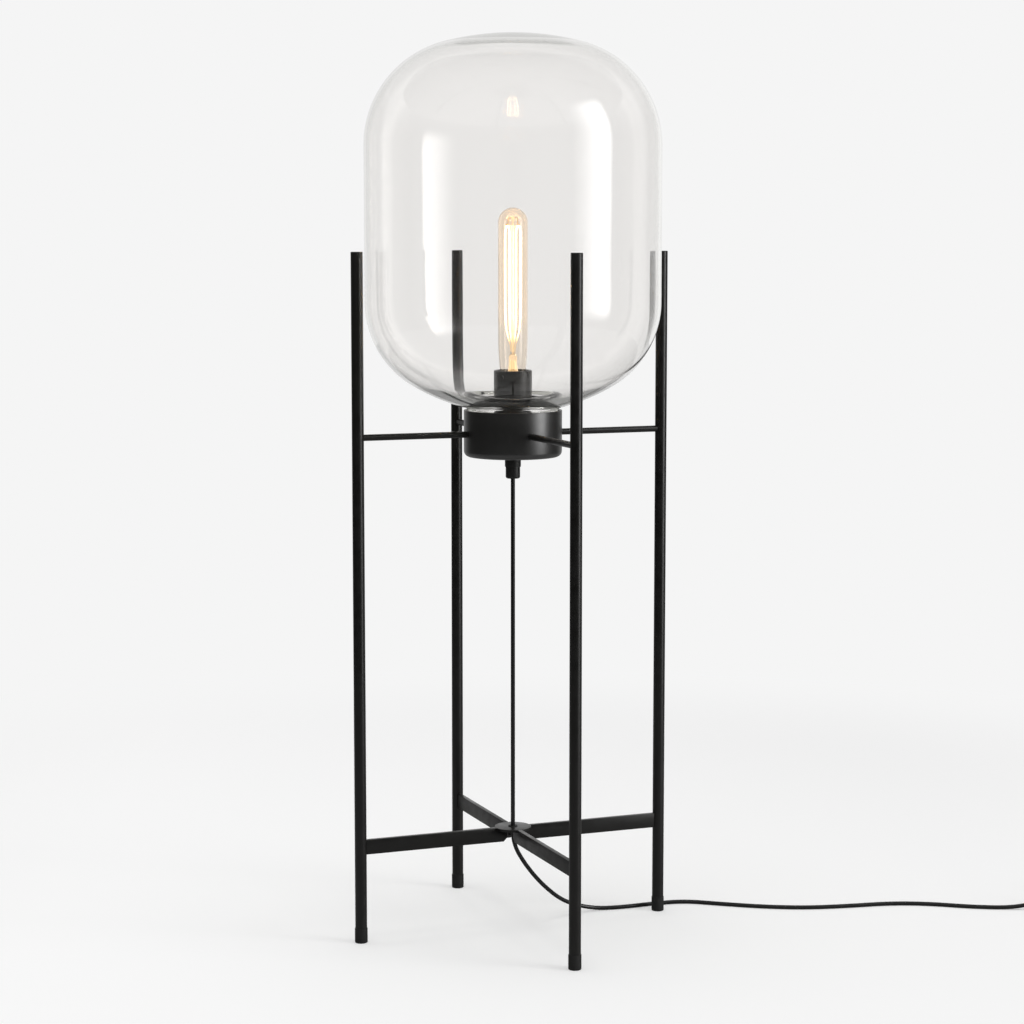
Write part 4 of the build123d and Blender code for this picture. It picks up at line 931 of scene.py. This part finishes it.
# Cord: a round two-core lead in a glossy black sheath. It hangs through the plate, runs over the floor
# to the foot switch, and its spare length lies in a tied coil that ends in the plug.
cord_radius = 0.0022
cord_turn = Matrix.Rotation(math.radians(-21.5), 4, "Z")
first_route = [
    (0, 0, 0.47575), (0, 0, 0.116), (0, 0, 0.088), (0.012, 0.009, 0.064), (0.0304, 0.0228, 0.038),
    (0.0544, 0.0408, 0.014), (0.086, 0.059, 0.0022), (0.115, 0.064, 0.0022), (0.148, 0.078, 0.0022),
    (0.184, 0.089, 0.0022), (0.224, 0.077, 0.0022), (0.268, 0.066, 0.0022), (0.312, 0.062, 0.0022),
    (0.358, 0.069, 0.0022), (0.404, 0.08, 0.0022), (0.446, 0.078, 0.0022), (0.488, 0.066, 0.0022),
    (0.53, 0.062, 0.0022), (0.556, 0.064, 0.0065), (0.582, 0.064, 0.0065),
]
first_cord = laid("cord_to_switch", [[cord_turn @ Vector(place) for place in first_route]], cord_radius, pvc)
join(first_cord, "frame", "cord_black", "cord")

coil_along = 0.692
coil_across = 0.0996
coil_inner = 0.0176
turn_step = 0.003
turns_per_layer = 3
layers = (0.0028, 0.0078)
points_per_half = 8
stations = []
for layer, level in enumerate(layers):
    for step in range(2 * turns_per_layer + 1):
        outward = 2 * turns_per_layer - step if layer == 0 else step
        side = -1 if len(stations) % 2 == 0 else 1
        stations.append((side * (coil_inner + outward * turn_step), level))
second_route = [(0.642, 0.064, 0.0065), (0.657, 0.064, 0.0065), (0.673, 0.064, 0.0028), (0.686, 0.064, 0.0028)]
control_reach = 1 / math.cos(math.pi / points_per_half / 2)
for index, ((start, low), (end, high)) in enumerate(zip(stations, stations[1:])):
    heading = 1 if index % 2 == 0 else -1
    for step in range(points_per_half):
        share = (step + 0.5) / points_per_half
        swing = math.pi * share
        radius = abs(end - start) / 2 * control_reach
        across = (start + end) / 2 + (start - end) / abs(end - start) * radius * math.cos(swing)
        second_route.append(
            (coil_along + heading * radius * math.sin(swing), coil_across + across, low + (high - low) * share)
        )
second_route += [(0.686, 0.1352, 0.0078), (0.6764, 0.1352, 0.0078)]
second_route += [(0.6654, 0.1352, 0.00685), (0.6534, 0.1352, 0.00685)]
second_cord = laid("cord_to_plug", [[cord_turn @ Vector(place) for place in second_route]], cord_radius, pvc)
join(second_cord, "frame", "cord_black", "cord_link", "cord_coil", "cord_end")

# The boxes of the solids and of the dressed lamp
low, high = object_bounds()
